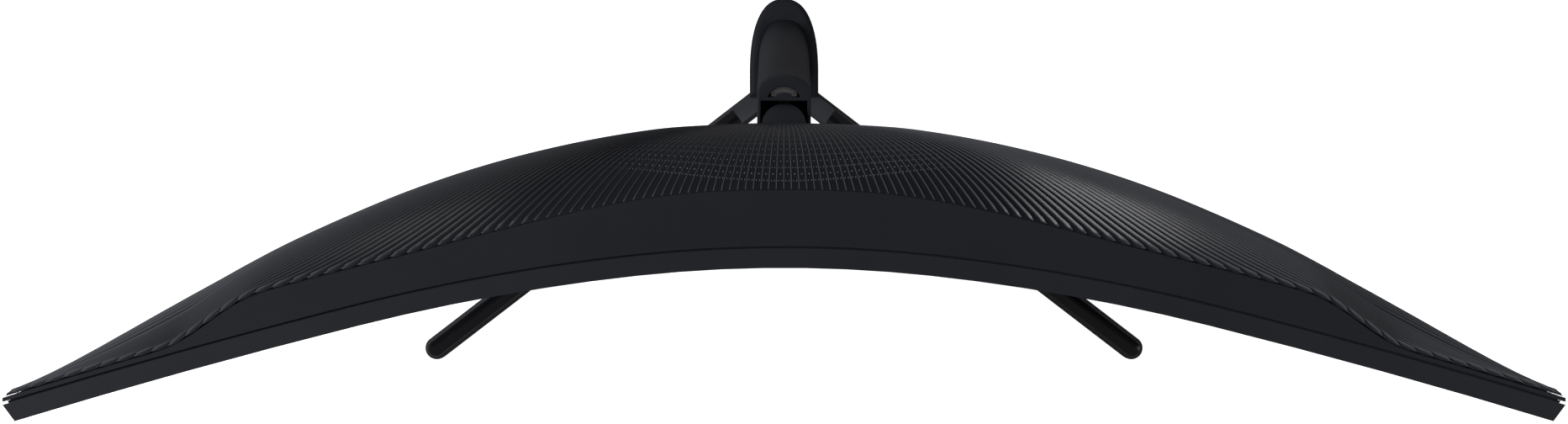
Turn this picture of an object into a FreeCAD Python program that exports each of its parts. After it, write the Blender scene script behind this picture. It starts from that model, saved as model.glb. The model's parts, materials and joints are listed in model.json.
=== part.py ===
import FreeCAD, Part
import math
import os
import Sketcher

# Wide curved desktop monitor on a V-legged stand.  Millimetres, +Z up, the screen faces -Y,
# +X is to the right of somebody sitting in front of it.  The origin lies on the surface that the
# stand rests on, below the middle of the overall box.

V = FreeCAD.Vector
X_AXIS, Y_AXIS, Z_AXIS = V(1, 0, 0), V(0, 1, 0), V(0, 0, 1)

DRIVING = [
    # display outline
    ("panel_width", 806.6, "tip to tip over the back corners of the front frame"),
    ("panel_height", 366.9, "height of the front frame"),
    ("panel_lift", 108.9, "bottom edge of the display above the surface"),
    ("front_y", -47.6, "front edge of the frame in the middle"),
    ("centre_radius", 706.0, "plan curve of the screen, middle stretch"),
    ("centre_angle", 6.16, "where the middle stretch ends"),
    ("middle_radius", 1050.0, "plan curve, second stretch"),
    ("middle_angle", 14.11, "where the second stretch ends"),
    ("flank_radius", 3794.0, "plan curve, nearly straight flank"),
    ("end_splay", 6.3, "front corners inside the back corners"),
    # front frame and display stack, as depths behind the front edge
    ("frame_depth", 10.0, "front frame, front to back"),
    ("frame_wall", 1.8, "rim around the glass"),
    ("lip_inset", 2.4, "closing lip inside the seam"),
    ("lip_wall", 1.8, "thickness of the closing lip"),
    ("ledge_width", 9.0, "ledge that carries the panel"),
    ("ledge_depth", 1.4, "thickness of the ledge"),
    ("glass_inset", 0.6, "glass behind the rim's front edge"),
    ("glass_thickness", 1.6, "liquid crystal panel"),
    ("film_thickness", 1.0, "optical film stack"),
    ("guide_thickness", 2.4, "light guide plate"),
    ("reflector_thickness", 0.4, "reflector sheet"),
    ("chassis_thickness", 1.0, "steel back chassis"),
    ("edge_gap", 0.4, "play around the sheets"),
    ("chin_height", 16.4, "strip below the glass"),
    ("led_height", 4.5, "LED bar below the light guide"),
    # rear cover
    ("seam_gap", 1.4, "groove between frame and rear cover"),
    ("cover_wall", 2.2, "wall of the rear cover"),
    ("dome_depth", 79.0, "rear cover behind the front edge, at mid-height in the middle"),
    ("tip_depth", 13.4, "the same at the tips"),
    ("dome_power", 2.5, "plan shape of the dome"),
    ("fall_power", 4.0, "vertical shape of the dome"),
    ("shelf_depth", 40.0, "flat top shelf, back edge in the middle"),
    ("shelf_flank_depth", 29.3, "flat top shelf, back edge on the flanks"),
    ("shelf_margin", 88.3, "from the tip to where the shelf runs out into the seam"),
    ("shelf_step_start", 35.0, "x where the shelf starts to narrow"),
    ("shelf_step_length", 180.0, "length over which it narrows"),
    ("shelf_run_out", 0.43, "slope of the shelf's end in plan"),
    # mount plate and boards
    ("vesa_pitch", 75.0, "hole spacing of the mount plate"),
    ("vesa_hole", 2.0, "radius of the M4 holes"),
    ("plate_size", 116.0, "mount plate, square"),
    ("plate_thickness", 3.0, "mount plate"),
    ("plate_gap", 3.8, "mount plate to the inside of the rear cover"),
    ("screw_pitch", 100.0, "spacing of the cover screws"),
    ("board_thickness", 1.6, "circuit boards"),
    # connector recess
    ("recess_floor", 47.6, "floor of the connector recess behind the front edge"),
    ("recess_x", 45.0, "side of the recess nearest the middle"),
    ("recess_width", 82.0, "recess, outside"),
    ("recess_rise", 55.1, "recess above the bottom edge"),
    ("recess_height", 24.0, "recess, outside"),
    ("recess_wall", 1.6, "wall of the recess"),
    ("socket_length", 14.4, "sockets, from the board to the floor of the recess"),
    ("audio_radius", 1.8, "bore for a 3.5 mm plug"),
    ("power_radius", 3.1, "bore of the power jack"),
    # tilt hinge
    ("hinge_reach", 2.6, "tilt axis behind the dome"),
    ("hinge_drop", 2.35, "tilt axis below mid-height"),
    ("shaft_radius", 2.5, "tilt shaft"),
    ("shaft_fit", 0.05, "running clearance of the tilt shaft"),
    ("bush_wall", 1.1, "bush around the shaft"),
    ("knuckle_radius", 6.0, "knuckle of the stand"),
    ("knuckle_half", 5.0, "half length of the knuckle"),
    ("ear_inner", 5.9, "inner face of the tilt bracket's ears"),
    ("ear_thickness", 2.4, "ears of the tilt bracket"),
    ("head_radius", 11.0, "hinge cover around the tilt axis"),
    ("head_half", 13.4, "half width of the hinge cover, also its round nose in plan"),
    ("head_wall", 1.4, "wall of the hinge cover"),
    # neck
    ("neck_bottom", 14.0, "foot of the neck shell"),
    ("neck_rise", 1.0, "top of the neck shell above the tilt axis"),
    ("cap_height", 4.0, "cap on the neck"),
    ("neck_base_half", 18.9, "half width of the neck at its foot"),
    ("collar_width", 14.4, "collar behind the neck"),
    ("neck_base_nose", 33.0, "length of the rounded back at the foot"),
    ("neck_base_length", 40.6, "neck at its foot, front to back"),
    ("neck_top_half", 16.4, "half width at the top"),
    ("neck_top_length", 15.4, "front to back at the top"),
    ("neck_top_nose", 11.0, "length of the rounded back at the top"),
    ("head_play", 1.6, "hinge cover to the front of the neck"),
    ("cheek_play", 0.8, "between the hinge cover and the neck's side walls"),
    ("cheek_reach", 1.2, "front edge of the neck's side walls ahead of the tilt axis"),
    ("cheek_height", 36.0, "neck's side walls beside the hinge cover"),
    ("cradle_wall", 1.2, "sloping floor between the side walls"),
    ("neck_wall", 2.6, "wall of the neck shell"),
    ("core_width", 20.0, "steel core of the neck"),
    ("core_thickness", 6.4, "steel core of the neck"),
    # base
    ("hub_back", 135.0, "back of the base"),
    ("hub_nose", 57.0, "length of the rounded back of the base"),
    ("hub_half", 25.6, "half width of the base behind the legs"),
    ("hub_length", 73.0, "base hub, front to back"),
    ("hub_top", 14.0, "top of the base hub"),
    ("collar_top", 22.0, "top of the collar around the neck"),
    ("collar_bevel", 3.0, "bevel around the collar"),
    ("pad_height", 2.0, "rubber pads"),
    ("leg_tip_x", 261.5, "centre of the rounded leg tip"),
    ("leg_tip_y", -126.4, "centre of the rounded leg tip"),
    ("leg_angle", 37.5, "leg from the X axis"),
    ("leg_half", 8.6, "half width at the foot of the leg section"),
    ("leg_top_half", 6.2, "half width of the leg's flat top"),
    ("leg_tip_height", 12.0, "top of the leg at the tip"),
    ("leg_root_height", 17.0, "top of the leg at the hub"),
    ("inlay_depth", 1.0, "gloss strip in the top of the leg"),
    # base screw
    ("screw_setback", 18.0, "captive screw behind the front of the neck's foot"),
    ("screw_radius", 3.0, "shank"),
    ("screw_fit", 0.06, "running clearance of the shank"),
    ("screw_head", 9.5, "radius of the head"),
    ("ring_radius", 7.0, "D ring, to the middle of its wire"),
    ("ring_wire", 0.9, "radius of the wire"),
    ("ring_z", 3.4, "height of the ring's axis"),
    # control stick below the display
    ("stick_depth", 26.0, "behind the front edge"),
    ("stick_pivot", 10.1, "pivot above the bottom edge"),
    ("stick_radius", 5.5, "radius of the cap"),
    ("stick_reach", 3.2, "how far the cap stands below the display"),
    ("pin_radius", 0.8, "gimbal pins"),
    ("pin_fit", 0.06, "running clearance of the pins"),
]

doc = FreeCAD.newDocument("CurvedMonitor")
sheet = doc.addObject("Spreadsheet::Sheet", "Dims")
for row, (alias, value, note) in enumerate(DRIVING, start=1):
    sheet.set("A%d" % row, alias)
    sheet.set("B%d" % row, repr(value))
    sheet.set("C%d" % row, note)
    sheet.setAlias("B%d" % row, alias)
doc.recompute()


class Size:
    """A length with its value and the expression that gives it, so both stay in step."""

    def __init__(self, value, text):
        self.value = value
        self.text = text

    @staticmethod
    def of(other):
        return other if isinstance(other, Size) else Size(float(other), "(%r)" % float(other))

    def __add__(self, other):
        other = Size.of(other)
        return Size(self.value + other.value, "(%s + %s)" % (self.text, other.text))

    def __sub__(self, other):
        other = Size.of(other)
        return Size(self.value - other.value, "(%s - %s)" % (self.text, other.text))

    def __mul__(self, other):
        other = Size.of(other)
        return Size(self.value * other.value, "(%s * %s)" % (self.text, other.text))

    def __truediv__(self, other):
        other = Size.of(other)
        return Size(self.value / other.value, "(%s / %s)" % (self.text, other.text))

    def __radd__(self, other):
        return Size.of(other) + self

    def __rsub__(self, other):
        return Size.of(other) - self

    def __rmul__(self, other):
        return Size.of(other) * self

    def __neg__(self):
        return Size(-self.value, "(0 - %s)" % self.text)

    def sine(self):
        return Size(math.sin(math.radians(self.value)), "sin(%s)" % self.text)


def S(alias):
    """Named cell as a size bound to the sheet."""
    return Size(float(sheet.get(alias)), "Dims." + alias)


def N(alias):
    """Named cell as a plain number."""
    return float(sheet.get(alias))


# places that follow from the driving sizes
half_width = S("panel_width") / 2
bottom = S("panel_lift")
top = bottom + S("panel_height")
middle_z = bottom + S("panel_height") / 2
dome_y = S("front_y") + S("dome_depth")
plate_back = dome_y - S("cover_wall") - S("plate_gap")
socket_floor = S("front_y") + S("recess_floor")
board_y = socket_floor - S("socket_length")
hinge_y = dome_y + S("hinge_reach")
hinge_z = middle_z - S("hinge_drop")
neck_top = hinge_z + S("neck_rise")
neck_top_front = hinge_y + S("head_radius") + S("head_play")
neck_top_back = neck_top_front + S("neck_top_length")
neck_base_back = S("hub_back") - S("collar_width")
neck_base_front = neck_base_back - S("neck_base_length")
screw_y = neck_base_front + S("screw_setback")
hub_front = S("hub_back") - S("hub_length")
stick_y = S("front_y") + S("stick_depth")
pivot_z = bottom + S("stick_pivot")

NODES = []


def node(obj, name):
    """Marks an object as a finished sub-part."""
    obj.Label = name
    NODES.append(obj)
    return obj


def bind(obj, prop, size):
    obj.setExpression(prop, Size.of(size).text)


def place(obj, x, y, z):
    bind(obj, "Placement.Base.x", x)
    bind(obj, "Placement.Base.y", y)
    bind(obj, "Placement.Base.z", z)


def box(x, y, z, length, width, height):
    """Box with its low corner at x, y, z."""
    obj = doc.addObject("Part::Box", "block")
    bind(obj, "Length", length)
    bind(obj, "Width", width)
    bind(obj, "Height", height)
    place(obj, x, y, z)
    return obj


TURNS = {"x": FreeCAD.Rotation(Y_AXIS, 90), "y": FreeCAD.Rotation(X_AXIS, -90), "z": FreeCAD.Rotation()}


def rod(axis, x, y, z, radius, length):
    """Cylinder that starts at x, y, z and runs along +axis."""
    obj = doc.addObject("Part::Cylinder", "rod")
    obj.Placement = FreeCAD.Placement(V(), TURNS[axis])
    bind(obj, "Radius", radius)
    bind(obj, "Height", length)
    place(obj, x, y, z)
    return obj


def fuse(*shapes):
    obj = doc.addObject("Part::MultiFuse", "joined")
    obj.Shapes = list(shapes)
    return obj


def cut(base, *tools):
    obj = doc.addObject("Part::Cut", "trimmed")
    obj.Base = base
    obj.Tool = tools[0] if len(tools) == 1 else fuse(*tools)
    return obj


def common(first, second):
    obj = doc.addObject("Part::Common", "shared")
    obj.Base = first
    obj.Tool = second
    return obj


def group(*shapes):
    obj = doc.addObject("Part::Compound", "set")
    obj.Links = list(shapes)
    return obj


def feature(shape):
    """Free-form piece whose shape comes from the functions below."""
    obj = doc.addObject("Part::Feature", "form")
    obj.Shape = shape
    return obj


# ---------------------------------------------------------------- plan curve of the screen

def curve_joints(depth):
    """x of the two joints of the plan curve at a depth behind the front edge."""
    depth = Size.of(depth)
    first = (S("centre_radius") + depth) * S("centre_angle").sine()
    turn = S("middle_angle").sine() - S("centre_angle").sine()
    return first, first + (S("middle_radius") + depth) * turn


def front_curve(x):
    """y and slope angle of the front edge at x."""
    x = abs(x)
    radii = [N("centre_radius"), N("middle_radius"), N("flank_radius")]
    angles = [0.0, math.radians(N("centre_angle")), math.radians(N("middle_angle"))]
    px, py = 0.0, N("front_y")
    for index, radius in enumerate(radii):
        start = angles[index]
        last = index == len(radii) - 1
        end_x = px + radius * (math.sin(angles[index + 1]) - math.sin(start)) if not last else None
        if last or x <= end_x:
            angle = math.asin(math.sin(start) + (x - px) / radius)
            return py + radius * (math.cos(angle) - math.cos(start)), angle
        py += radius * (math.cos(angles[index + 1]) - math.cos(start))
        px = end_x
    return None


def chain_points(depth, tip):
    """Joints and tip of the right half of the offset curve, with the centres of its arcs."""
    radii = [N("centre_radius"), N("middle_radius"), N("flank_radius")]
    angles = [0.0, math.radians(N("centre_angle")), math.radians(N("middle_angle"))]
    cx, cy = 0.0, N("front_y") - radii[0]
    centres = [(cx, cy)]
    for index in (1, 2):
        change = radii[index - 1] - radii[index]
        cx += change * math.sin(angles[index])
        cy += change * math.cos(angles[index])
        centres.append((cx, cy))
    last_radius = radii[2] + depth
    angles.append(math.asin((tip - centres[2][0]) / last_radius))
    return radii, angles, centres


def add_chain(sketch, depth, tip, tip_low):
    """Five tangent arcs, from the left tip to the right tip.  Returns their first and last index."""
    radii, angles, centres = chain_points(depth.value, tip.value)
    names = ["centre_radius", "middle_radius", "flank_radius"]
    arcs = []
    for index in (-3, -2, 0, 2, 3):
        k = max(abs(index) - 1, 0)
        side = -1 if index < 0 else 1
        cx, cy = centres[k]
        radius = radii[k] + depth.value
        if index == 0:
            low, high = math.pi / 2 - angles[1], math.pi / 2 + angles[1]
        elif side > 0:
            low, high = math.pi / 2 - angles[k + 1], math.pi / 2 - angles[k]
        else:
            low, high = math.pi / 2 + angles[k], math.pi / 2 + angles[k + 1]
        circle = Part.Circle(V(side * cx, cy, 0), Z_AXIS, radius)
        arcs.append(sketch.addGeometry(Part.ArcOfCircle(circle, low, high), False))
        number = sketch.addConstraint(Sketcher.Constraint("Radius", arcs[-1], radius))
        sketch.setExpression("Constraints[%d]" % number, (S(names[k]) + depth).text)
    # an arc runs anticlockwise, so its end point lies to the left of its start point
    for left, right in zip(arcs, arcs[1:]):
        sketch.addConstraint(Sketcher.Constraint("Tangent", left, 1, right, 2))
    middle = arcs[2]
    sketch.addConstraint(Sketcher.Constraint("PointOnObject", middle, 3, -2))
    drop = S("centre_radius") - S("front_y")
    number = sketch.addConstraint(Sketcher.Constraint("DistanceY", middle, 3, -1, 1, drop.value))
    sketch.setExpression("Constraints[%d]" % number, drop.text)
    first, second = curve_joints(depth)
    for arc, where in ((arcs[2], first), (arcs[3], second), (arcs[4], tip)):
        number = sketch.addConstraint(Sketcher.Constraint("DistanceX", -1, 1, arc, 1, where.value))
        sketch.setExpression("Constraints[%d]" % number, where.text)
    for arc, where in ((arcs[2], first), (arcs[1], second), (arcs[0], tip_low)):
        number = sketch.addConstraint(Sketcher.Constraint("DistanceX", arc, 2, -1, 1, where.value))
        sketch.setExpression("Constraints[%d]" % number, where.text)
    return arcs[0], arcs[-1]


def slab_sketch(body, front, back, front_tip, back_tip, z):
    """Closed plan outline between two depths, drawn at height z.  Each tip is (left, right)."""
    sketch = body.newObject("Sketcher::SketchObject", "plan")
    plane = [f for f in body.Origin.OriginFeatures if f.Role == "XY_Plane"][0]
    sketch.AttachmentSupport = [(plane, "")]
    sketch.MapMode = "FlatFace"
    bind(sketch, "AttachmentOffset.Base.z", z)
    front, back = Size.of(front), Size.of(back)
    ends = []
    for depth, (low, high) in ((front, front_tip), (back, back_tip)):
        left, right = add_chain(sketch, depth, high, low)
        ends.append((left, right))
    (front_left, front_right), (back_left, back_right) = ends
    corner = sketch.getPoint
    for lower, upper, vertex in ((front_left, back_left, 2), (front_right, back_right, 1)):
        line = sketch.addGeometry(Part.LineSegment(corner(lower, vertex), corner(upper, vertex)), False)
        sketch.addConstraint(Sketcher.Constraint("Coincident", line, 1, lower, vertex))
        sketch.addConstraint(Sketcher.Constraint("Coincident", line, 2, upper, vertex))
    return sketch


def tips(inset):
    """Plan ends of a slab: x of the frame's end face at a depth, less an inset."""
    def at(depth):
        depth = Size.of(depth)
        x = half_width - S("end_splay") * (1 - depth / S("frame_depth")) - inset
        return x, x
    return at


def add_pad(body, front, back, inset, z, height):
    ends = tips(inset)
    sketch = slab_sketch(body, front, back, ends(front), ends(back), z)
    pad = body.newObject("PartDesign::Pad", "pad")
    pad.Profile = sketch
    bind(pad, "Length", height)
    return pad


def add_pocket(body, front, back, inset, z, height):
    """Removes the slab that hangs below z by height."""
    ends = tips(inset)
    sketch = slab_sketch(body, front, back, ends(front), ends(back), z)
    pocket = body.newObject("PartDesign::Pocket", "pocket")
    pocket.Profile = sketch
    bind(pocket, "Length", height)
    return pocket


def slab(name, front, back, inset, z, height):
    """Curved sheet that follows the screen."""
    body = doc.addObject("PartDesign::Body", "sheet_body")
    add_pad(body, front, back, inset, z, height)
    return node(body, name)


# ---------------------------------------------------------------- display

glass_back = S("glass_inset") + S("glass_thickness")
ledge_back = glass_back + S("ledge_depth")
film_back = ledge_back + S("film_thickness")
guide_back = film_back + S("guide_thickness")
reflector_back = guide_back + S("reflector_thickness")
chassis_back = reflector_back + S("chassis_thickness")
rim = S("frame_wall")
stack_inset = S("lip_inset") + S("lip_wall")


def front_frame():
    body = doc.addObject("PartDesign::Body", "frame_body")
    lip = S("lip_inset")
    ahead = 3.0
    lip_back = S("frame_depth") + S("seam_gap") - 0.15
    chin_top = rim + S("chin_height")
    add_pad(body, 0.0, S("frame_depth"), 0.0, bottom, S("panel_height"))
    add_pad(body, ledge_back, lip_back, lip, bottom + lip, S("panel_height") - 2 * lip)
    add_pocket(body, -ahead, glass_back, rim, top - rim, S("panel_height") - 2 * rim)
    opening = S("panel_height") - 2 * S("ledge_width") - chin_top
    add_pocket(body, -ahead, lip_back + ahead, S("ledge_width"), top - S("ledge_width"), opening)
    add_pocket(body, ledge_back, lip_back + ahead, stack_inset, top - stack_inset,
               S("panel_height") - 2 * stack_inset)
    return node(body, "front_frame")


front_frame()
slab("chin_bar", 0.0, glass_back, rim, bottom + rim, S("chin_height"))
glass_bottom = bottom + rim + S("chin_height") + S("edge_gap")
slab("lcd_panel", S("glass_inset"), glass_back, rim + S("edge_gap"), glass_bottom,
     top - rim - S("edge_gap") - glass_bottom)
sheet_inset = stack_inset + S("edge_gap")
sheet_bottom = bottom + sheet_inset
sheet_height = S("panel_height") - 2 * sheet_inset
guide_bottom = sheet_bottom + S("led_height") + S("edge_gap")
slab("optical_films", ledge_back, film_back, sheet_inset, sheet_bottom, sheet_height)
slab("light_guide", film_back, guide_back, sheet_inset, guide_bottom, top - sheet_inset - guide_bottom)
slab("led_bar", film_back, guide_back, sheet_inset, sheet_bottom, S("led_height"))
slab("reflector_sheet", guide_back, reflector_back, sheet_inset, sheet_bottom, sheet_height)
slab("back_chassis", reflector_back, chassis_back, sheet_inset, sheet_bottom, sheet_height)


# rear cover: a ruled loft through level sections, hollowed by a second one

def blend(t):
    t = min(max(t, 0.0), 1.0)
    return t * t * (3 - 2 * t)


def soft_min(a, b, reach):
    return 0.5 * (a + b - math.sqrt((a - b) ** 2 + reach ** 2))


def shelf_depth(x):
    """Back edge of the flat shelf, behind the front edge."""
    x = abs(x)
    step = N("shelf_depth") - N("shelf_flank_depth")
    flat = N("shelf_flank_depth") + step * (1 - blend((x - N("shelf_step_start")) / N("shelf_step_length")))
    ramp = N("tip_depth") + N("shelf_run_out") * (half_width.value - N("shelf_margin") - x)
    shelf = soft_min(flat, ramp, 3.0)
    return -soft_min(-shelf, -N("tip_depth"), 2.0)


def dome_depth(x):
    s = min(abs(x) / half_width.value, 1.0)
    return N("tip_depth") + (N("dome_depth") - N("tip_depth")) * (1 - s ** N("dome_power"))


def cover_depth(x, z):
    """Depth of the cover's outer surface at a place and height."""
    low, high = bottom.value, top.value
    half = (high - low) / 2
    t = min(max(1 - abs(z - (low + high) / 2) / half, 0.0), 1.0)
    edge = shelf_depth(x)
    return edge + (max(dome_depth(x), edge) - edge) * (1 - (1 - t) ** N("fall_power"))


SECTION_POINTS = 61
LEVELS = [0.0, 0.02, 0.05, 0.09, 0.14, 0.2, 0.28, 0.38, 0.5, 0.65, 0.82, 1.0]


def level_wire(half, front_depth, back_depth, z):
    """Closed outline at height z between two depth functions."""
    front, back = [], []
    for index in range(SECTION_POINTS):
        x = half * (2.0 * index / (SECTION_POINTS - 1) - 1)
        y, angle = front_curve(x)
        front.append(V(x, y + front_depth(x) / math.cos(angle), z))
        back.append(V(x, y + back_depth(x) / math.cos(angle), z))
    edges = []
    for points in (front, back[::-1]):
        spline = Part.BSplineCurve()
        spline.interpolate(points)
        edges.append(spline.toShape())
    edges.insert(1, Part.makeLine(front[-1], back[-1]))
    edges.append(Part.makeLine(back[0], front[0]))
    return Part.Wire(edges)


def cover_solid(half, front, inset):
    """Cover volume from a front depth to the dome, drawn in by an inset."""
    low, high = bottom.value + inset, top.value - inset
    centre, reach = (low + high) / 2, (high - low) / 2
    heights = [centre - reach * (1 - t) for t in LEVELS]
    heights += [centre + reach * (1 - t) for t in LEVELS[-2::-1]]
    wires = []
    for z in heights:
        outward = z + inset if z > centre else z - inset

        def back_depth(x, outward=outward):
            return max(cover_depth(x, outward) - inset, front + 1.0)

        wires.append(level_wire(half, lambda x: front, back_depth, z))
    return Part.makeLoft(wires, True, True)


def cover_y(x, z):
    """y of the cover's outer surface."""
    y, angle = front_curve(x)
    return y + cover_depth(x, z) / math.cos(angle)


def rear_cover():
    wall = N("cover_wall")
    seam = N("frame_depth") + N("seam_gap")
    half = half_width.value
    return cover_solid(half, seam, 0.0).cut(cover_solid(half - 3.0 * wall, seam - 2.0, wall))


recess_x, recess_width = S("recess_x"), S("recess_width")
recess_z, recess_height = bottom + S("recess_rise"), S("recess_height")
recess_wall = S("recess_wall")
pitch = S("vesa_pitch") / 2
screw_pitch = S("screw_pitch") / 2
far = 60.0
window_half = S("head_half") - S("head_wall") - 1.0
window_drop = S("head_radius") - S("head_wall") - 0.6
access_radius, screw_hole = 4.0, 1.6
light_x, light_radius, light_fit = 16.0, 1.2, 0.05
cut_start = plate_back - 5.0
stick_play = 1.8
cover_cuts = [box(-window_half, cut_start, hinge_z - window_drop, 2 * window_half, far, 2 * window_drop)]
cover_cuts.append(box(recess_x, socket_floor - 3.0, recess_z, recess_width, far, recess_height))
cover_cuts.append(rod("z", 0.0, stick_y, bottom - 2.0, S("stick_radius") + stick_play, 8.0))
cover_cuts.append(rod("z", light_x, stick_y, bottom - 2.0, light_radius + light_fit, 8.0))
CORNERS = [(x, z) for x in (-1, 1) for z in (-1, 1)]
for side_x, side_z in CORNERS:
    cover_cuts.append(rod("y", side_x * pitch, cut_start, middle_z + side_z * pitch, access_radius, far))
    cover_cuts.append(rod("y", side_x * screw_pitch, cut_start, middle_z + side_z * screw_pitch,
                          screw_hole, far))
doc.recompute()
node(feature(rear_cover().cut([tool.Shape for tool in cover_cuts])), "rear_cover")

# connector recess: a tray let into the rear cover, cut off to the cover's own surface
tray_outer = box(recess_x, socket_floor - recess_wall, recess_z, recess_width, far, recess_height)
tray_inner = box(recess_x + recess_wall, socket_floor, recess_z + recess_wall,
                 recess_width - 2 * recess_wall, far, recess_height - 2 * recess_wall)
tray = common(cut(tray_outer, tray_inner), feature(cover_solid(half_width.value, N("frame_depth"), 0.0)))

SOCKETS = [
    # name, middle x from the side of the recess, half width, half height
    ("hdmi_socket", 21.0, 7.6, 3.2),
    ("display_socket", 43.0, 8.6, 3.4),
]
socket_z = recess_z + recess_height / 2
lead = 1.0
socket_length = S("socket_length") + lead
audio_x, audio_radius, audio_wall = recess_x + 59.0, S("audio_radius"), 1.6
power_x, power_radius, power_wall = recess_x + 72.0, S("power_radius"), 1.7
jack_fit = 0.05
through = 2 * recess_wall + 4.0
tray_holes = [box(recess_x + x - half_x, socket_floor - through / 2, socket_z - half_z,
                  2 * half_x, through, 2 * half_z)
              for _, x, half_x, half_z in SOCKETS]
for x, radius in ((audio_x, audio_radius + audio_wall), (power_x, power_radius + power_wall)):
    tray_holes.append(rod("y", x, socket_floor - through / 2, socket_z, radius + jack_fit, through))
node(cut(tray, *tray_holes), "connector_tray")
for name, x, half_x, half_z in SOCKETS:
    low_x, skin, back_wall = recess_x + x - half_x, 0.5, 2.5
    shell = cut(box(low_x, board_y, socket_z - half_z, 2 * half_x, socket_length, 2 * half_z),
                box(low_x + skin, board_y + back_wall, socket_z - half_z + skin,
                    2 * (half_x - skin), socket_length, 2 * (half_z - skin)))
    tongue = box(low_x + 2.0, board_y + 2.0, socket_z - 0.7, 2 * half_x - 4.0, socket_length - 4.0, 1.4)
    node(fuse(shell, tongue), name)
node(cut(rod("y", audio_x, board_y, socket_z, audio_radius + audio_wall, socket_length),
         rod("y", audio_x, board_y + 1.4, socket_z, audio_radius, socket_length)), "audio_jack")
node(fuse(cut(rod("y", power_x, board_y, socket_z, power_radius + power_wall, socket_length),
              rod("y", power_x, board_y + 2.5, socket_z, power_radius, socket_length)),
          rod("y", power_x, board_y + 1.5, socket_z, 1.0, socket_length - 4.0)), "power_jack")

# main board behind the chassis, on posts
board_x, board_z = recess_x - 21.0, recess_z - 30.0
board_width, board_height = recess_width + 26.0, recess_height + 60.0
board_front = board_y - S("board_thickness")
node(box(board_x, board_front, board_z, board_width, S("board_thickness"), board_height), "main_board")
CHIPS = [
    # x and z on the board, width, height and thickness
    (12.0, 62.0, 20.0, 16.0, 2.4),
    (40.0, 64.0, 12.0, 10.0, 1.6),
    (66.0, 62.0, 12.0, 12.0, 5.0),
    (88.0, 10.0, 10.0, 10.0, 7.0),
    (68.0, 8.0, 14.0, 8.0, 1.6),
]
node(group(*[box(board_x + x, board_y, board_z + z, w, tall, d) for x, z, w, d, tall in CHIPS]), "board_chips")


def chassis_y(x):
    y, angle = front_curve(x)
    return y + chassis_back.value / math.cos(angle)


def posts(spots, radius, end):
    """Posts from the chassis to a flat piece at y = end."""
    solids = []
    for x, z in spots:
        start = max(chassis_y(x - radius), chassis_y(x + radius))
        solids.append(Part.makeCylinder(radius, end - start, V(x, start, z), Y_AXIS))
    return feature(Part.makeCompound(solids))


post_inset, post_radius = 5.0, 3.0
board_spots = [(board_x + x, board_z + z)
               for x in (Size.of(post_inset), board_width - post_inset)
               for z in (Size.of(post_inset), board_height - post_inset)]
node(posts([(x.value, z.value) for x, z in board_spots], post_radius, board_front.value), "board_posts")
node(group(*[rod("y", x, board_y, z, post_radius, 1.6) for x, z in board_spots]), "board_screws")
timing_x, timing_z, timing_width, timing_height = -176.0, bottom + 19.0, 120.0, 20.0
timing_y = S("front_y") + 15.6
node(box(timing_x, timing_y, timing_z, timing_width, S("board_thickness"), timing_height), "timing_board")
timing_spots = [(x, timing_z.value + timing_height / 2)
                for x in (timing_x + 8.0, timing_x + timing_width - 8.0)]
node(posts(timing_spots, post_radius, timing_y.value), "timing_posts")
shield_gap, shield_wall, shield_inset = 5.5, 0.8, 12.0
shield_y = board_front - shield_gap
shield_height = board_height - 2 * shield_inset
node(cut(box(board_x - 1.0, shield_y, board_z + shield_inset, board_width + 2.0, shield_gap, shield_height),
         box(board_x - 1.0 + shield_wall, shield_y + shield_wall, board_z + shield_inset + shield_wall,
             board_width + 2.0 - 2 * shield_wall, shield_gap, shield_height - 2 * shield_wall)), "board_shield")

# mount plate
plate_front = plate_back - S("plate_thickness")
half_plate = S("plate_size") / 2
cover_screw_radius, cover_screw_reach = 1.5, 6.0
plate_holes = []
for side_x, side_z in CORNERS:
    for spacing, radius in ((pitch, S("vesa_hole")), (screw_pitch, cover_screw_radius)):
        plate_holes.append(rod("y", side_x * spacing, plate_front - 1.0, middle_z + side_z * spacing, radius,
                               S("plate_thickness") + 2.0))
node(cut(box(-half_plate, plate_front, middle_z - half_plate, S("plate_size"), S("plate_thickness"),
             S("plate_size")), *plate_holes), "mount_plate")
node(posts([(x * (half_plate.value - 12.0), middle_z.value + z * 20.0) for x, z in CORNERS], 5.0,
           plate_front.value), "mount_posts")
screw_spots = [(x * screw_pitch.value, middle_z.value + z * screw_pitch.value) for x, z in CORNERS]
screw_y0 = plate_back - cover_screw_reach
node(group(*[rod("y", x, screw_y0, z, cover_screw_radius, cover_y(x, z) - 0.6 - screw_y0)
             for x, z in screw_spots]),
     "cover_screws")

# tilt hinge, display side
ear_outer = S("ear_inner") + S("ear_thickness")
bracket_half, bracket_drop = window_half - 1.0, window_drop - 0.4
bracket_plate = box(-bracket_half, plate_back, hinge_z - bracket_drop, 2 * bracket_half, 2.6, 2 * bracket_drop)
ears = []
for low in (-ear_outer, S("ear_inner")):
    ears.append(box(low, plate_back, hinge_z - S("knuckle_radius"), S("ear_thickness"), hinge_y - plate_back,
                    2 * S("knuckle_radius")))
    ears.append(rod("x", low, hinge_y, hinge_z, S("knuckle_radius"), S("ear_thickness")))
ear_bore = rod("x", -ear_outer - 1.0, hinge_y, hinge_z, S("shaft_radius"), 2 * ear_outer + 2.0)
node(cut(fuse(bracket_plate, *ears), ear_bore), "tilt_bracket")
shaft_end = ear_outer + 1.6
node(rod("x", -shaft_end, hinge_y, hinge_z, S("shaft_radius"), 2 * shaft_end), "hinge_shaft")
node(group(*[cut(rod("x", low, hinge_y, hinge_z, 4.0, 1.4),
                 rod("x", low - 1.0, hinge_y, hinge_z, S("shaft_radius"), 4.0))
             for low in (-ear_outer - 1.4, ear_outer)]), "hinge_nuts")
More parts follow.
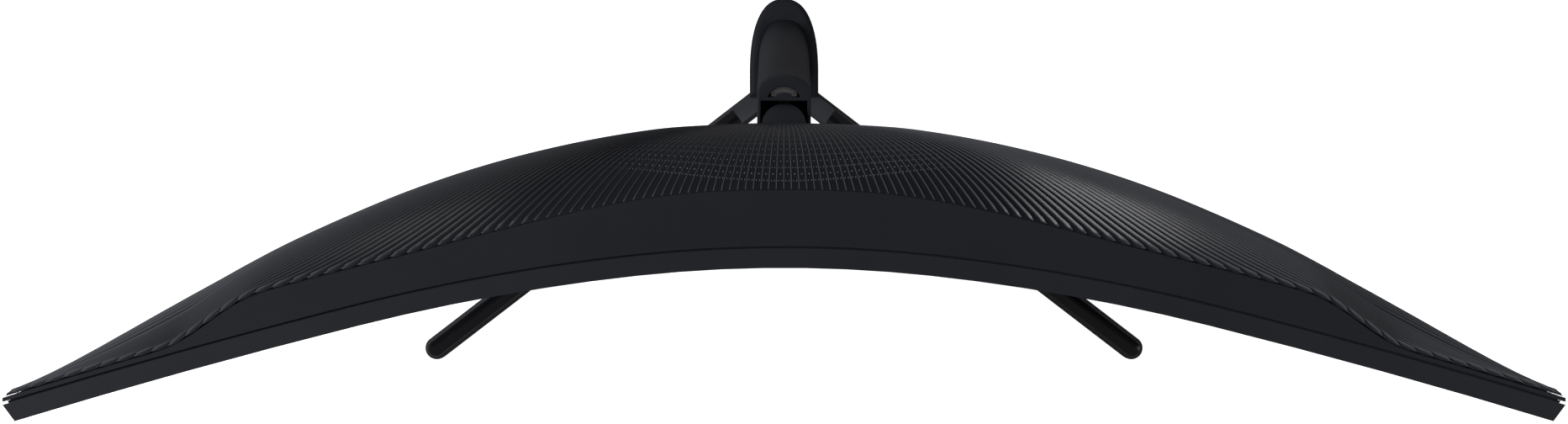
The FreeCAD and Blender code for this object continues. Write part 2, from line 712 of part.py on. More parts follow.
node(group(*[cut(rod("x", low, hinge_y, hinge_z, 5.4, 0.4),
                 rod("x", low - 1.0, hinge_y, hinge_z, S("shaft_radius"), 3.0))
             for low in (-S("ear_inner"), S("ear_inner") - 0.4)]), "friction_washers")

# hinge cover: round nose in plan and round about the tilt axis, with a slot for the knuckle's arm
head_front = Size.of(cover_y(0.0, hinge_z.value) + 0.05)
nose_y = hinge_y + S("head_radius") - S("head_half")


def head_form(wall):
    radius = S("head_radius") - wall
    half = S("head_half") - wall
    block = box(-half, head_front - wall, hinge_z - radius, 2 * half, hinge_y - head_front + wall, 2 * radius)
    tall = 60.0
    plan = fuse(rod("z", 0.0, nose_y, hinge_z - tall / 2, half, tall),
                box(-half, head_front - wall, hinge_z - tall / 2, 2 * half, nose_y - head_front + wall, tall))
    behind = box(-tall / 2, head_front - wall, hinge_z - tall / 2, tall, tall, tall)
    profile = fuse(block, rod("x", -half, hinge_y, hinge_z, radius, 2 * half))
    return common(common(profile, plan), behind)


arm_half = 3.6
head_slot = box(-arm_half - 0.8, hinge_y, hinge_z - 16.0, 2 * (arm_half + 0.8), 20.0, 16.0)
head_slot_low = box(-arm_half - 0.8, hinge_y - 1.0, hinge_z - 16.0, 2 * (arm_half + 0.8), 3.0, 10.0)
node(cut(head_form(0.0), head_form(S("head_wall")), head_slot, head_slot_low), "hinge_cover")

# ---------------------------------------------------------------- control stick

ring_half = 1.5


def tilted_pair(axis, inner, outer):
    """Two pins along an axis, on both sides of the pivot."""
    reach = outer - inner
    if axis == "y":
        return [rod("y", 0.0, stick_y + inner, pivot_z, S("pin_radius"), reach),
                rod("y", 0.0, stick_y - outer, pivot_z, S("pin_radius"), reach)]
    return [rod("x", inner, stick_y, pivot_z, S("pin_radius"), reach),
            rod("x", -outer, stick_y, pivot_z, S("pin_radius"), reach)]


housing = cut(box(-9.0, stick_y - 9.0, pivot_z - 3.0, 18.0, 18.0, 7.0),
              rod("z", 0.0, stick_y, pivot_z - 4.0, 6.9, 6.4),
              rod("z", 0.0, stick_y, pivot_z + 2.0, 2.2, 1.4),
              rod("y", 0.0, stick_y - 8.4, pivot_z, S("pin_radius") + S("pin_fit"), 16.8))
node(housing, "stick_housing")
node(cut(box(-12.0, stick_y - 12.0, pivot_z + 4.0, 24.0, 24.0, S("board_thickness")),
         rod("z", 0.0, stick_y, pivot_z + 3.0, 1.0, 4.0)), "stick_board")
node(fuse(cut(rod("z", 0.0, stick_y, pivot_z - ring_half, 5.9, 2 * ring_half),
              rod("z", 0.0, stick_y, pivot_z - ring_half - 1.0, 4.4, 2 * ring_half + 2.0),
              rod("x", -7.0, stick_y, pivot_z, S("pin_radius") + S("pin_fit"), 14.0)),
          *tilted_pair("y", 5.4, 8.1)), "gimbal_ring")
node(fuse(cut(rod("z", 0.0, stick_y, pivot_z - ring_half, 3.6, 2 * ring_half),
              rod("z", 0.0, stick_y, pivot_z - ring_half - 1.0, 1.5 + S("pin_fit"), 2 * ring_half + 2.0)),
          *tilted_pair("x", 3.3, 5.7)), "stick_rocker")
cap_bottom = bottom - S("stick_reach")
cap_height = 5.6
node(fuse(rod("z", 0.0, stick_y, cap_bottom, S("stick_radius"), cap_height),
          rod("z", 0.0, stick_y, cap_bottom + cap_height - 0.5, 1.5,
              pivot_z + 2.0 - cap_bottom - cap_height + 0.5)), "control_stick")
node(rod("z", light_x, stick_y, bottom - 0.2, light_radius, 8.0), "light_pipe")

# ---------------------------------------------------------------- stand


def nose_outline(half, nose_y0, nose_length, front_y0, z, power=2.4, count=24):
    """D-shaped outline: flat front, straight sides and a rounded back."""
    points = []
    for index in range(count + 1):
        angle = math.pi * index / count
        c, s = math.cos(angle), math.sin(angle)
        points.append(V(half * math.copysign(abs(c) ** (2 / power), c),
                        nose_y0 + nose_length * abs(s) ** (2 / power), z))
    curve = Part.BSplineCurve()
    curve.interpolate(points)
    left, right = V(-half, front_y0, z), V(half, front_y0, z)
    return Part.Wire([Part.makeLine(right, points[0]), curve.toShape(),
                      Part.makeLine(points[-1], left), Part.makeLine(left, right)])


def neck_level(z, inset):
    """Neck outline at height z, drawn in by an inset."""
    share = (z - N("neck_bottom")) / (neck_top.value - N("neck_bottom"))

    def mix(low, high):
        return low.value + (high.value - low.value) * share

    back = mix(neck_base_back, neck_top_back) - inset
    nose = mix(S("neck_base_nose"), S("neck_top_nose")) - inset
    half = mix(S("neck_base_half"), S("neck_top_half")) - inset
    return nose_outline(half, back - nose, nose, mix(neck_base_front, neck_top_front) + inset, z)


def neck_solid(z0, z1, inset):
    return Part.makeLoft([neck_level(z0, inset), neck_level(z1, inset)], True, True)


def leaning(z):
    """y of the neck's front face at height z."""
    share = (z - N("neck_bottom")) / (neck_top.value - N("neck_bottom"))
    return neck_base_front.value + (neck_top_front - neck_base_front).value * share


z_low, z_high = N("neck_bottom"), neck_top.value
neck_hollow = neck_solid(z_low - 1.0, z_high + 1.0, N("neck_wall"))
front_half = N("neck_top_half") - N("neck_wall")
front_slot = Part.makeLoft([
    Part.makePolygon([V(-front_half, leaning(z) - 1, z), V(front_half, leaning(z) - 1, z),
                      V(front_half, leaning(z) + 4, z), V(-front_half, leaning(z) + 4, z),
                      V(-front_half, leaning(z) - 1, z)])
    for z in (z_low - 1.0, z_high + 1.0)], True, True)
neck_outer = neck_solid(z_low, z_high, 0.0)


def cheek(levels, inset=0.0):
    """Side wall that runs forward beside the hinge cover, through front edges (y, z)."""
    wires = []
    for y, z in levels:
        share = (z - N("neck_bottom")) / (neck_top.value - N("neck_bottom"))
        outer = N("neck_base_half") + (N("neck_top_half") - N("neck_base_half")) * share
        inner = N("head_half") + N("cheek_play")
        back = leaning(z) + N("neck_wall") + 1.4
        drawn = inset if z > neck_top.value else 0.0
        corners = [V(inner, y + drawn, z), V(outer - drawn, y + drawn, z), V(outer - drawn, back, z),
                   V(inner, back, z)]
        wires.append(Part.makePolygon(corners + corners[:1]))
    return Part.makeLoft(wires, True, True)


cheek_front = hinge_y.value - N("cheek_reach")
cheek_foot, cheek_shoulder = z_high - N("cheek_height"), z_high - N("cheek_height") / 2
cheek_low = cheek([(leaning(cheek_foot) + 1.0, cheek_foot), (cheek_front, cheek_shoulder)])
right_cheek = cheek_low.fuse(cheek([(cheek_front, cheek_shoulder), (cheek_front, z_high)]))
cradle_back = leaning(cheek_foot) - 0.3
cradle_half = N("head_half") + N("cheek_play") + 0.2
cradle_points = [V(-cradle_half, cheek_front, cheek_shoulder), V(-cradle_half, cradle_back, cheek_foot),
                 V(-cradle_half, cradle_back, cheek_foot + N("cradle_wall")),
                 V(-cradle_half, cheek_front, cheek_shoulder + N("cradle_wall"))]
cradle = Part.Face(Part.makePolygon(cradle_points + cradle_points[:1])).extrude(V(2 * cradle_half, 0, 0))
neck_sides = neck_outer.cut(neck_hollow).cut(front_slot)
for side in (right_cheek, right_cheek.mirror(V(), X_AXIS), cradle):
    neck_sides = neck_sides.fuse(side)
node(feature(neck_sides), "neck_shell")
window_low = hinge_z.value - 26.0
front_cover = neck_outer.common(front_slot).cut(neck_hollow)
keep = Part.makeBox(80, 200, window_low - z_low, V(-40, 0, z_low))
node(feature(front_cover.common(keep)), "neck_front_cover")


def neck_cap():
    """Cap with the curved cable slot behind the hinge."""
    z0, z1 = neck_top.value, neck_top.value + N("cap_height")
    edge = 0.6
    cap = Part.makeLoft([neck_level(z0, 0.0), neck_level(z1, edge)], True, True)
    side = cheek([(cheek_front, z0), (cheek_front, z1)], edge)
    cap = cap.fuse(side).fuse(side.mirror(V(), X_AXIS))
    slot_outer, slot_inner, rim, tall = 10.4, 7.6, 6.2, N("cap_height") + 4.0
    centre = V(0, neck_top_back.value - rim - slot_outer, z0 - 1)
    ring = Part.makeCylinder(slot_outer, tall, centre)
    ring = ring.cut(Part.makeCylinder(slot_inner, tall, centre - V(0, 1.2, 0)))
    return cap.cut(ring.common(Part.makeBox(40, 30, tall, centre + V(-20, 3.4, 0))))


node(feature(neck_cap()), "neck_cap")


def leaning_bar(width, thickness, low, high):
    """Bar with level ends between two points of the YZ plane."""
    wires = []
    for y, z in (low, high):
        corner = [V(-width / 2, y - thickness / 2, z), V(width / 2, y - thickness / 2, z),
                  V(width / 2, y + thickness / 2, z), V(-width / 2, y + thickness / 2, z)]
        wires.append(Part.makePolygon(corner + corner[:1]))
    return Part.makeLoft(wires, True, True)


core_setback = N("neck_wall") + N("core_thickness") / 2 + 2.8
core_low = (screw_y.value, N("neck_bottom"))
core_high = (neck_top_front.value + core_setback, neck_top.value - 8.0)
core = leaning_bar(N("core_width"), N("core_thickness"), core_low, core_high)
foot_half = N("neck_base_half") - N("neck_wall") - 4.3
foot = Part.makeBox(2 * foot_half, 18, 8, V(-foot_half, screw_y.value - 10, N("neck_bottom")))
shank_radius = N("screw_radius") + N("screw_fit")
core_hole = Part.makeCylinder(shank_radius, 14, V(0, screw_y.value, N("neck_bottom") - 1))
node(feature(core.fuse(foot).cut(core_hole)), "neck_core")

# knuckle of the stand: barrel, arm and a flange on the front of the core
arm_length = 12.0 + N("head_radius")
arm = Part.makeBox(2 * arm_half, arm_length, 7.0, V(-arm_half, 0, -3.5))
arm.Placement = FreeCAD.Placement(V(0, hinge_y.value, hinge_z.value), FreeCAD.Rotation(X_AXIS, -45))
barrel = Part.makeCylinder(N("knuckle_radius"), 2 * N("knuckle_half"),
                           V(-N("knuckle_half"), hinge_y.value, hinge_z.value), X_AXIS)
bush_radius = N("shaft_radius") + N("shaft_fit") + N("bush_wall")
barrel_bore = Part.makeCylinder(bush_radius, 40, V(-20, hinge_y.value, hinge_z.value), X_AXIS)


def core_face(z):
    """y of the core's front face at height z."""
    share = (z - core_low[1]) / (core_high[1] - core_low[1])
    return core_low[0] + (core_high[0] - core_low[0]) * share - N("core_thickness") / 2


flange_low, flange_high = hinge_z.value - 34.0, hinge_z.value - 10.0
flange_thickness = 2.4
flange = leaning_bar(16.0, flange_thickness, (core_face(flange_low) - flange_thickness / 2, flange_low),
                     (core_face(flange_high) - flange_thickness / 2, flange_high))
front_limit = Part.makeLoft([Part.makePolygon([V(-30, core_face(z), z), V(30, core_face(z), z), V(30, -60, z),
                                               V(-30, -60, z), V(-30, core_face(z), z)])
                             for z in (200.0, 320.0)], True, True)
knuckle = barrel.fuse(arm.common(front_limit)).fuse(flange).cut(barrel_bore)
node(feature(knuckle), "hinge_knuckle")
node(cut(rod("x", -S("knuckle_half"), hinge_y, hinge_z, S("shaft_radius") + S("shaft_fit") + S("bush_wall"),
             2 * S("knuckle_half")),
         rod("x", -20.0, hinge_y, hinge_z, S("shaft_radius") + S("shaft_fit"), 40.0)), "hinge_bush")

# base: hub, collar and two legs
foot_z = N("pad_height")
hub_outline = nose_outline(N("hub_half"), N("hub_back") - N("hub_nose"), N("hub_nose"), hub_front.value, foot_z)
hub_column = Part.Face(hub_outline).extrude(V(0, 0, N("collar_top") - foot_z))


def leg_frame():
    """Placement of a leg's own frame: x runs out along the leg, from above the hub."""
    angle = -N("leg_angle")
    slope = math.radians(N("leg_angle"))
    length = (N("leg_tip_x") - 3.0) / math.cos(slope)
    root = V(3.0, N("leg_tip_y") + length * math.sin(slope), 0)
    return root, angle, length


def leg_section(x, half, top_half, low, high):
    """Leg section with a flat top between two bevels."""
    shoulder = low + 0.62 * (high - low)
    corners = [V(x, -half, low), V(x, half, low), V(x, half, shoulder), V(x, top_half, high),
               V(x, -top_half, high), V(x, -half, shoulder)]
    return Part.makePolygon(corners + corners[:1])


def leg_form(low, spread, lift):
    """Right leg before trimming, in the row's frame."""
    root, angle, length = leg_frame()
    half, top_half = N("leg_half") + spread, N("leg_top_half") + spread
    tip_high, root_high = N("leg_tip_height") + lift, N("leg_root_height") + lift
    run = Part.makeLoft([leg_section(0, half, top_half, low, root_high),
                         leg_section(length, half, top_half, low, tip_high)], True, True)
    shoulder = low + 0.62 * (tip_high - low)
    tip = Part.makeCylinder(half, shoulder - low, V(length, 0, low))
    tip = tip.fuse(Part.makeCone(half, top_half, tip_high - shoulder, V(length, 0, shoulder)))
    form = run.fuse(tip)
    form.Placement = FreeCAD.Placement(root, FreeCAD.Rotation(Z_AXIS, angle))
    return form


def mirrored(shape):
    return shape.mirror(V(), X_AXIS)


tongue_top = foot_z + 3.5
leg_raw = leg_form(foot_z, 0.0, 0.0)
leg_outside = leg_raw.cut(hub_column)
tongue_slab = Part.makeBox(60, 90, 3.5, V(7.0, 20, foot_z))
tongue = leg_raw.common(hub_column).common(tongue_slab)


def inlay_form():
    """Gloss strip let into the flat top of the leg."""
    root, angle, length = leg_frame()
    half = N("leg_top_half") - 0.5
    depth = N("inlay_depth")
    slope = (N("leg_tip_height") - N("leg_root_height")) / length
    start, wires = 40.0, []
    for x in (start, length):
        high = N("leg_root_height") + slope * x
        corners = [V(x, -half, high - depth), V(x, half, high - depth), V(x, half, high), V(x, -half, high)]
        wires.append(Part.makePolygon(corners + corners[:1]))
    strip = Part.makeLoft(wires, True, True)
    end = Part.makeCylinder(half, depth, V(length, 0, N("leg_tip_height") - depth))
    form = strip.fuse(end)
    form.Placement = FreeCAD.Placement(root, FreeCAD.Rotation(Z_AXIS, angle))
    return form


inlay = inlay_form()
leg = leg_outside.fuse(tongue).cut(inlay)
root, leg_turn, leg_length = leg_frame()
along = V(math.cos(math.radians(leg_turn)), math.sin(math.radians(leg_turn)), 0)
screw_spots_leg = [root + along * 9.0, root + along * 21.0]
screws = []
for spot in screw_spots_leg:
    head = Part.makeCylinder(3.2, 1.6, V(spot.x, spot.y, foot_z))
    screws.append(head.fuse(Part.makeCylinder(1.6, 9.0, V(spot.x, spot.y, foot_z))))
screw_set = Part.makeCompound(screws)
leg = leg.cut(screw_set)
hub = Part.Face(hub_outline).extrude(V(0, 0, N("hub_top") - foot_z))
hub = hub.cut(tongue).cut(mirrored(tongue)).cut(screw_set).cut(mirrored(screw_set))
pocket = Part.makeCylinder(N("screw_head") + 2.0, 6.4, V(0, screw_y.value, foot_z))
shank_hole = Part.makeCylinder(shank_radius, 20, V(0, screw_y.value, foot_z))
node(feature(hub.cut(pocket).cut(shank_hole)), "base_hub")
node(feature(leg), "right_leg")
node(feature(mirrored(leg)), "left_leg")
node(feature(inlay), "right_leg_inlay")
node(feature(mirrored(inlay)), "left_leg_inlay")
node(feature(Part.makeCompound(screws + [mirrored(s) for s in screws])), "leg_screws")


def base_collar():
    """Ring that closes the gap between the hub and the neck, bevelled all round its top."""
    low, high, bevel = N("hub_top"), N("collar_top"), N("collar_bevel")

    def ring_level(z, inset):
        back, nose = N("hub_back") - inset, N("hub_nose") - inset
        return nose_outline(N("hub_half") - inset, back - nose, nose, hub_front.value + inset, z)

    body = Part.makeLoft([ring_level(low, 0.0), ring_level(high - bevel, 0.0)], True, True)
    body = body.fuse(Part.makeLoft([ring_level(high - bevel, 0.0), ring_level(high, bevel)], True, True))
    hole = Part.makeLoft([neck_level(low - 1.0, -0.2), neck_level(high + 1.0, -0.2)], True, True)
    return body.cut(hole).cut(leg_raw).cut(mirrored(leg_raw))


node(feature(base_collar()), "base_collar")


def pad(spot, radius):
    return Part.makeCylinder(radius, foot_z, V(spot.x, spot.y, 0))


tip_spot = root + along * (leg_length - 1.0)
pads = [pad(tip_spot, 6.5), mirrored(pad(tip_spot, 6.5)), pad(V(0, N("hub_back") - 14.0, 0), 7.0)]
node(feature(Part.makeCompound(pads)), "foot_pads")

# captive screw with its folding ring
head_low = S("ring_z") + 1.4
screw = fuse(rod("z", 0.0, screw_y, head_low, S("screw_head"), 2.2),
             rod("z", 0.0, screw_y, head_low + 1.8, S("screw_radius"), 14.0),
             box(-2.6, screw_y - 1.9, S("ring_z") - 1.6, 5.2, 3.8, head_low - S("ring_z") + 2.0))
node(cut(screw, rod("x", -6.0, screw_y, S("ring_z"), S("ring_wire") + 0.06, 12.0)), "base_screw")


def d_ring():
    """Half round of wire closed by a straight pin."""
    radius, wire = N("ring_radius"), N("ring_wire")
    arc = Part.makeTorus(radius, wire, V(), Z_AXIS, -180, 180, 180)
    pin = Part.makeCylinder(wire, 2 * radius, V(-radius, 0, 0), X_AXIS)
    ends = [Part.makeSphere(wire, V(s * radius, 0, 0)) for s in (-1, 1)]
    ring = arc.fuse([pin] + ends)
    ring.translate(V(0, screw_y.value, N("ring_z")))
    return ring


node(feature(d_ring()), "screw_ring")

# ---------------------------------------------------------------- check and write

doc.recompute()
for obj in doc.Objects:
    if "Invalid" in obj.State or "Error" in obj.State:
        raise RuntimeError("%s (%s) failed: %s" % (obj.Name, obj.Label, obj.State))
os.makedirs("parts", exist_ok=True)
for obj in NODES:
    shape = obj.Shape
    if shape.isNull() or not shape.isValid() or not shape.Solids:
        raise RuntimeError("%s has no sound solid" % obj.Label)
    shape.exportStep(os.path.join("parts", obj.Label + ".step"))
    print("%-20s %9.0f mm3  %2d solids" % (obj.Label, shape.Volume, len(shape.Solids)))
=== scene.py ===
import json
import math

import bmesh
import bpy
import numpy as np
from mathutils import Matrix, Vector


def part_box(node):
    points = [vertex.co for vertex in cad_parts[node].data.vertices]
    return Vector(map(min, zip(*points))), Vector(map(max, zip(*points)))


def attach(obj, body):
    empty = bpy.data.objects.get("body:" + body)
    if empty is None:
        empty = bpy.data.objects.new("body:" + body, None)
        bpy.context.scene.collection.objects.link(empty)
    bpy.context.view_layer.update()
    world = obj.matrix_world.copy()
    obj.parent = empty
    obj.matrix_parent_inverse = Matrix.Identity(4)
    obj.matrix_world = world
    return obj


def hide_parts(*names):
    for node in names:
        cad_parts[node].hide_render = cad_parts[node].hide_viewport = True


bl_info = {
    "name": "Curved Desk Monitor",
    "version": (1, 0, 0),
    "blender": (4, 5, 0),
    "location": "View3D > Sidebar > Monitor",
    "description": "Finishes, ribbed back and studio for a wide curved monitor on a V-legged stand",
    "category": "Object",
}

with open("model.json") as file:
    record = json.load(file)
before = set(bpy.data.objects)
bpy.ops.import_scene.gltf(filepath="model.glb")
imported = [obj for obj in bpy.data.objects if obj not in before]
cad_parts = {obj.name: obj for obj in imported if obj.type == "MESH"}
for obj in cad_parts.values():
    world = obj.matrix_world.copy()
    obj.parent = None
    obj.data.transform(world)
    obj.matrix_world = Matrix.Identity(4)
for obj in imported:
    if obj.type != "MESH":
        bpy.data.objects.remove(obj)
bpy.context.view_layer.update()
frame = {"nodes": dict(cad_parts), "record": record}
FRAME_LOW, FRAME_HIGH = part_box("front_frame")
HALF_WIDTH = (FRAME_HIGH[0] - FRAME_LOW[0]) / 2
HALF_HEIGHT = (FRAME_HIGH[2] - FRAME_LOW[2]) / 2
MIDDLE_Z = (FRAME_HIGH[2] + FRAME_LOW[2]) / 2

# the back's own shape
SHELF_STEP_START = 0.035
SHELF_STEP_LENGTH = 0.18
SHELF_RUN_OUT = 0.43
DOME_POWER = 2.5
FALL_POWER = 4

# the rib pattern
RIB_STEPS = (0.0, 0.14, 0.42, 0.86)
LINE_PROFILE = (1.0, 0.0, 0.0, 0.0)
SAW_PROFILE = (1.0, 0.55, 0.0, 0.45)
SKIN_ROWS = 64
SKIN_EDGE = 0.0001
GROWTH_LENGTH = 0.26
RIM_FADE = 0.004
MIDDLE_FADE = 0.03
# painted highlight: lighter colour laid on the ridge tops for the light they catch
CREST_HIGHLIGHT_TONE = (0.110, 0.114, 0.126)
CREST_ROUGHNESS = 0.20

# the beads and dots
BEAD_ACROSS = (-0.0002, -0.0001, 0.0, 0.0001, 0.0002)
BEAD_RISE = (-0.0007, -0.00016, -0.00006, -0.00016, -0.0007)
BEAD_STATIONS = 241
DOT_SIDES = 6
DOT_SINK = 0.00008
DOT_LARGEST = 0.0042
DOT_SMALLEST = 0.0006
DOT_HEIGHT = 0.11
DASH = (0.10, 0.22)
SINGLE = (0.17, 0.18)
PAIR_SHIFT = 0.22
ROW_STEP = 0.0046
ROW_STEP_GROWTH = 0.00045
ROW_STEP_LARGEST = 0.0075
TRAY_MARGIN = 0.003

# the surface finish and the studio
GRAIN_RELIEF = 0.0002
COAT_ROUGHNESS = 0.06
FLOOR_SIZE = 14.0
AIR_STRENGTH = 0.2
LIGHT_TARGET = (0.0, -0.05, 0.35)
LIGHTS = [
    # name, place, size, power
    ("left_bank", (-2.0, 0.5, 1.7), (1.5, 1.4), 55),
    ("right_bank", (2.0, 0.1, 2.0), (1.3, 1.3), 12),
    ("front_fill", (0.0, -2.2, 1.6), (2.6, 1.2), 6),
]


# ------------------------------------------------------------------ sizes and colours

class MonitorSizes(bpy.types.PropertyGroup):
    """Shape of the back and its pattern."""

    front_y: bpy.props.FloatProperty(
        name="Front edge", description="Front edge of the frame in the middle",
        default=-0.0476, unit="LENGTH")
    centre_radius: bpy.props.FloatProperty(
        name="Centre radius", description="Plan curve, middle stretch", default=0.706, unit="LENGTH")
    centre_angle: bpy.props.FloatProperty(
        name="Centre angle", description="Where the middle stretch ends",
        default=math.radians(6.16), subtype="ANGLE")
    middle_radius: bpy.props.FloatProperty(
        name="Second radius", description="Plan curve, second stretch", default=1.05, unit="LENGTH")
    middle_angle: bpy.props.FloatProperty(
        name="Second angle", description="Where the second stretch ends", default=math.radians(14.11),
        subtype="ANGLE")
    flank_radius: bpy.props.FloatProperty(
        name="Flank radius", description="Plan curve of the flanks", default=3.794, unit="LENGTH")
    dome_depth: bpy.props.FloatProperty(
        name="Dome depth", description="Back behind the front edge in the middle",
        default=0.079, unit="LENGTH")
    tip_depth: bpy.props.FloatProperty(
        name="Tip depth", description="Back behind the front edge at the tips", default=0.0134, unit="LENGTH")
    shelf_depth: bpy.props.FloatProperty(
        name="Shelf depth", description="Flat top shelf in the middle", default=0.040, unit="LENGTH")
    shelf_flank_depth: bpy.props.FloatProperty(
        name="Shelf depth, flanks", description="Flat top shelf on the flanks", default=0.0293, unit="LENGTH")
    shelf_margin: bpy.props.FloatProperty(
        name="Shelf margin", description="From the tip to the end of the shelf",
        default=0.0883, unit="LENGTH")
    rib_pitch: bpy.props.FloatProperty(
        name="Rib pitch", description="Rib spacing along the top, in the middle",
        default=0.00395, unit="LENGTH")
    rib_growth: bpy.props.FloatProperty(
        name="Rib growth", description="Extra rib spacing on the flanks", default=0.005, unit="LENGTH")
    rib_height: bpy.props.FloatProperty(
        name="Rib height", description="Ridge height in the middle", default=0.00045, unit="LENGTH")
    flank_height: bpy.props.FloatProperty(
        name="Flank ridge height", description="Ridge height on the flanks", default=0.0026, unit="LENGTH")
    skin_lift: bpy.props.FloatProperty(
        name="Skin lift", description="Pattern skin above the moulded cover", default=0.00035, unit="LENGTH")
    rib_draw: bpy.props.FloatProperty(
        name="Rib draw", description="How far the ribs lean towards the tips", default=0.3, subtype="FACTOR")
    plain_radius: bpy.props.FloatProperty(
        name="Plain middle", description="Radius of the plain area around the hinge",
        default=0.064, unit="LENGTH")
    dot_field: bpy.props.FloatProperty(
        name="Dot field", description="Radius of the dotted field", default=0.1775, unit="LENGTH")


class StudioSettings(bpy.types.PropertyGroup):
    """Camera and lights."""

    camera_height: bpy.props.FloatProperty(
        name="Camera height", description="Above the top edge of the display", default=1.016, unit="LENGTH")
    camera_y: bpy.props.FloatProperty(
        name="Camera Y", description="Camera along the depth of the object", default=-0.007, unit="LENGTH")
    camera_pitch: bpy.props.FloatProperty(
        name="Camera pitch", description="Turn of the camera from straight down", default=math.radians(-0.66),
        subtype="ANGLE")
    lens: bpy.props.FloatProperty(
        name="Lens", description="Focal length in millimetres", default=45.27, unit="CAMERA")


# ------------------------------------------------------------------ form of the back

def plan_curve(x):
    """y and slope of the front edge, for an array of x."""
    p = bpy.context.scene.monitor_sizes
    x = np.abs(x)
    radii = (p.centre_radius, p.middle_radius, p.flank_radius)
    angles = (0.0, p.centre_angle, p.middle_angle)
    joints = [0.0]
    heights = [p.front_y]
    for k in (0, 1):
        turn = math.sin(angles[k + 1]) - math.sin(angles[k])
        drop = math.cos(angles[k + 1]) - math.cos(angles[k])
        joints.append(joints[-1] + radii[k] * turn)
        heights.append(heights[-1] + radii[k] * drop)
    stretch = np.where(x < joints[1], 0, np.where(x < joints[2], 1, 2))
    radius = np.choose(stretch, radii)
    start = np.choose(stretch, angles)
    sine = np.sin(start) + (x - np.choose(stretch, joints)) / radius
    cosine = np.sqrt(1 - sine ** 2)
    return np.choose(stretch, heights) + radius * (cosine - np.cos(start)), np.arcsin(sine)


def blend(t):
    t = np.clip(t, 0.0, 1.0)
    return t * t * (3 - 2 * t)


def soft_min(a, b, reach):
    return 0.5 * (a + b - np.sqrt((a - b) ** 2 + reach ** 2))


def shelf_edge(x):
    """Back edge of the flat top shelf, behind the front edge."""
    p = bpy.context.scene.monitor_sizes
    x = np.abs(x)
    narrowing = blend((x - SHELF_STEP_START) / SHELF_STEP_LENGTH)
    flat = p.shelf_flank_depth + (p.shelf_depth - p.shelf_flank_depth) * (1 - narrowing)
    ramp = p.tip_depth + SHELF_RUN_OUT * (HALF_WIDTH - p.shelf_margin - x)
    shelf = soft_min(flat, ramp, 0.003)
    return -soft_min(-shelf, -p.tip_depth, 0.002)


def back_depth(x, z):
    """Depth of the back behind the front edge."""
    p = bpy.context.scene.monitor_sizes
    s = np.clip(np.abs(x) / HALF_WIDTH, 0, 1)
    dome = p.tip_depth + (p.dome_depth - p.tip_depth) * (1 - s ** DOME_POWER)
    t = np.clip(1 - np.abs(z - MIDDLE_Z) / HALF_HEIGHT, 0, 1)
    edge = shelf_edge(x)
    return edge + (np.maximum(dome, edge) - edge) * (1 - (1 - t) ** FALL_POWER)


def back_y(x, z):
    y, angle = plan_curve(x)
    return y + back_depth(x, z) / np.cos(angle)


def lifted(x, z, height):
    """Points of the back at x, z, raised along the surface by a height."""
    step = 0.0004
    slope_x = (back_y(x + step, z) - back_y(x - step, z)) / (2 * step)
    low = np.clip(z - step, MIDDLE_Z - HALF_HEIGHT, MIDDLE_Z + HALF_HEIGHT)
    high = np.clip(z + step, MIDDLE_Z - HALF_HEIGHT, MIDDLE_Z + HALF_HEIGHT)
    slope_z = (back_y(x, high) - back_y(x, low)) / np.maximum(high - low, 1e-6)
    length = np.sqrt(1 + slope_x ** 2 + slope_z ** 2)
    return np.stack([x - slope_x * height / length, back_y(x, z) + height / length,
                     z - slope_z * height / length], axis=-1)


# ------------------------------------------------------------------ mesh helpers

def clear_selection():
    if bpy.context.object and bpy.context.object.mode != "OBJECT":
        bpy.ops.object.mode_set(mode="OBJECT")
    bpy.ops.object.select_all(action="DESELECT")


def grid(name, columns, rows):
    """Flat grid whose vertices are then placed by a formula, rows first."""
    clear_selection()
    bpy.ops.mesh.primitive_grid_add(x_subdivisions=columns - 1, y_subdivisions=rows - 1, size=1.0)
    obj = bpy.context.object
    obj.name = name
    obj.data.name = name
    return obj


def set_points(obj, points):
    obj.data.vertices.foreach_set("co", np.asarray(points, dtype=np.float32).reshape(-1))
    obj.data.update()


def finish_piece(obj, body, material, nodes=(), smooth=30.0):
    obj.data.materials.clear()
    obj.data.materials.append(bpy.data.materials[material])
    clear_selection()
    obj.select_set(True)
    bpy.context.view_layer.objects.active = obj
    if smooth:
        bpy.ops.object.shade_smooth_by_angle(angle=math.radians(smooth))
    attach(obj, body)
    if nodes:
        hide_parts(*nodes)
    return obj


def recalculate(obj, inside=False):
    clear_selection()
    obj.select_set(True)
    bpy.context.view_layer.objects.active = obj
    bpy.ops.object.mode_set(mode="EDIT")
    bpy.ops.mesh.select_all(action="SELECT")
    bpy.ops.mesh.normals_make_consistent(inside=inside)
    bpy.ops.object.mode_set(mode="OBJECT")


def bevelled_copy(node, name, width, segments=2, smooth=35.0):
    """Copy of a CAD node with its corners rounded as a mould or a brake press leaves them."""
    source = frame["nodes"][node]
    mesh = bpy.data.meshes.new_from_object(source)
    mesh.name = name
    obj = bpy.data.objects.new(name, mesh)
    bpy.context.scene.collection.objects.link(obj)
    clear_selection()
    obj.select_set(True)
    bpy.context.view_layer.objects.active = obj
    bpy.ops.object.mode_set(mode="EDIT")
    bpy.ops.mesh.select_all(action="SELECT")
    bpy.ops.mesh.remove_doubles(threshold=0.000005)
    bpy.ops.mesh.dissolve_limited(angle_limit=math.radians(0.6))
    bpy.ops.object.mode_set(mode="OBJECT")
    bevel = obj.modifiers.new("rounded", "BEVEL")
    bevel.width = width
    bevel.segments = segments
    bevel.limit_method = "ANGLE"
    bevel.angle_limit = math.radians(smooth)
    bevel.use_clamp_overlap = True
    bevel.harden_normals = False
    bpy.ops.object.modifier_apply(modifier="rounded")
    return obj


# ------------------------------------------------------------------ finishes

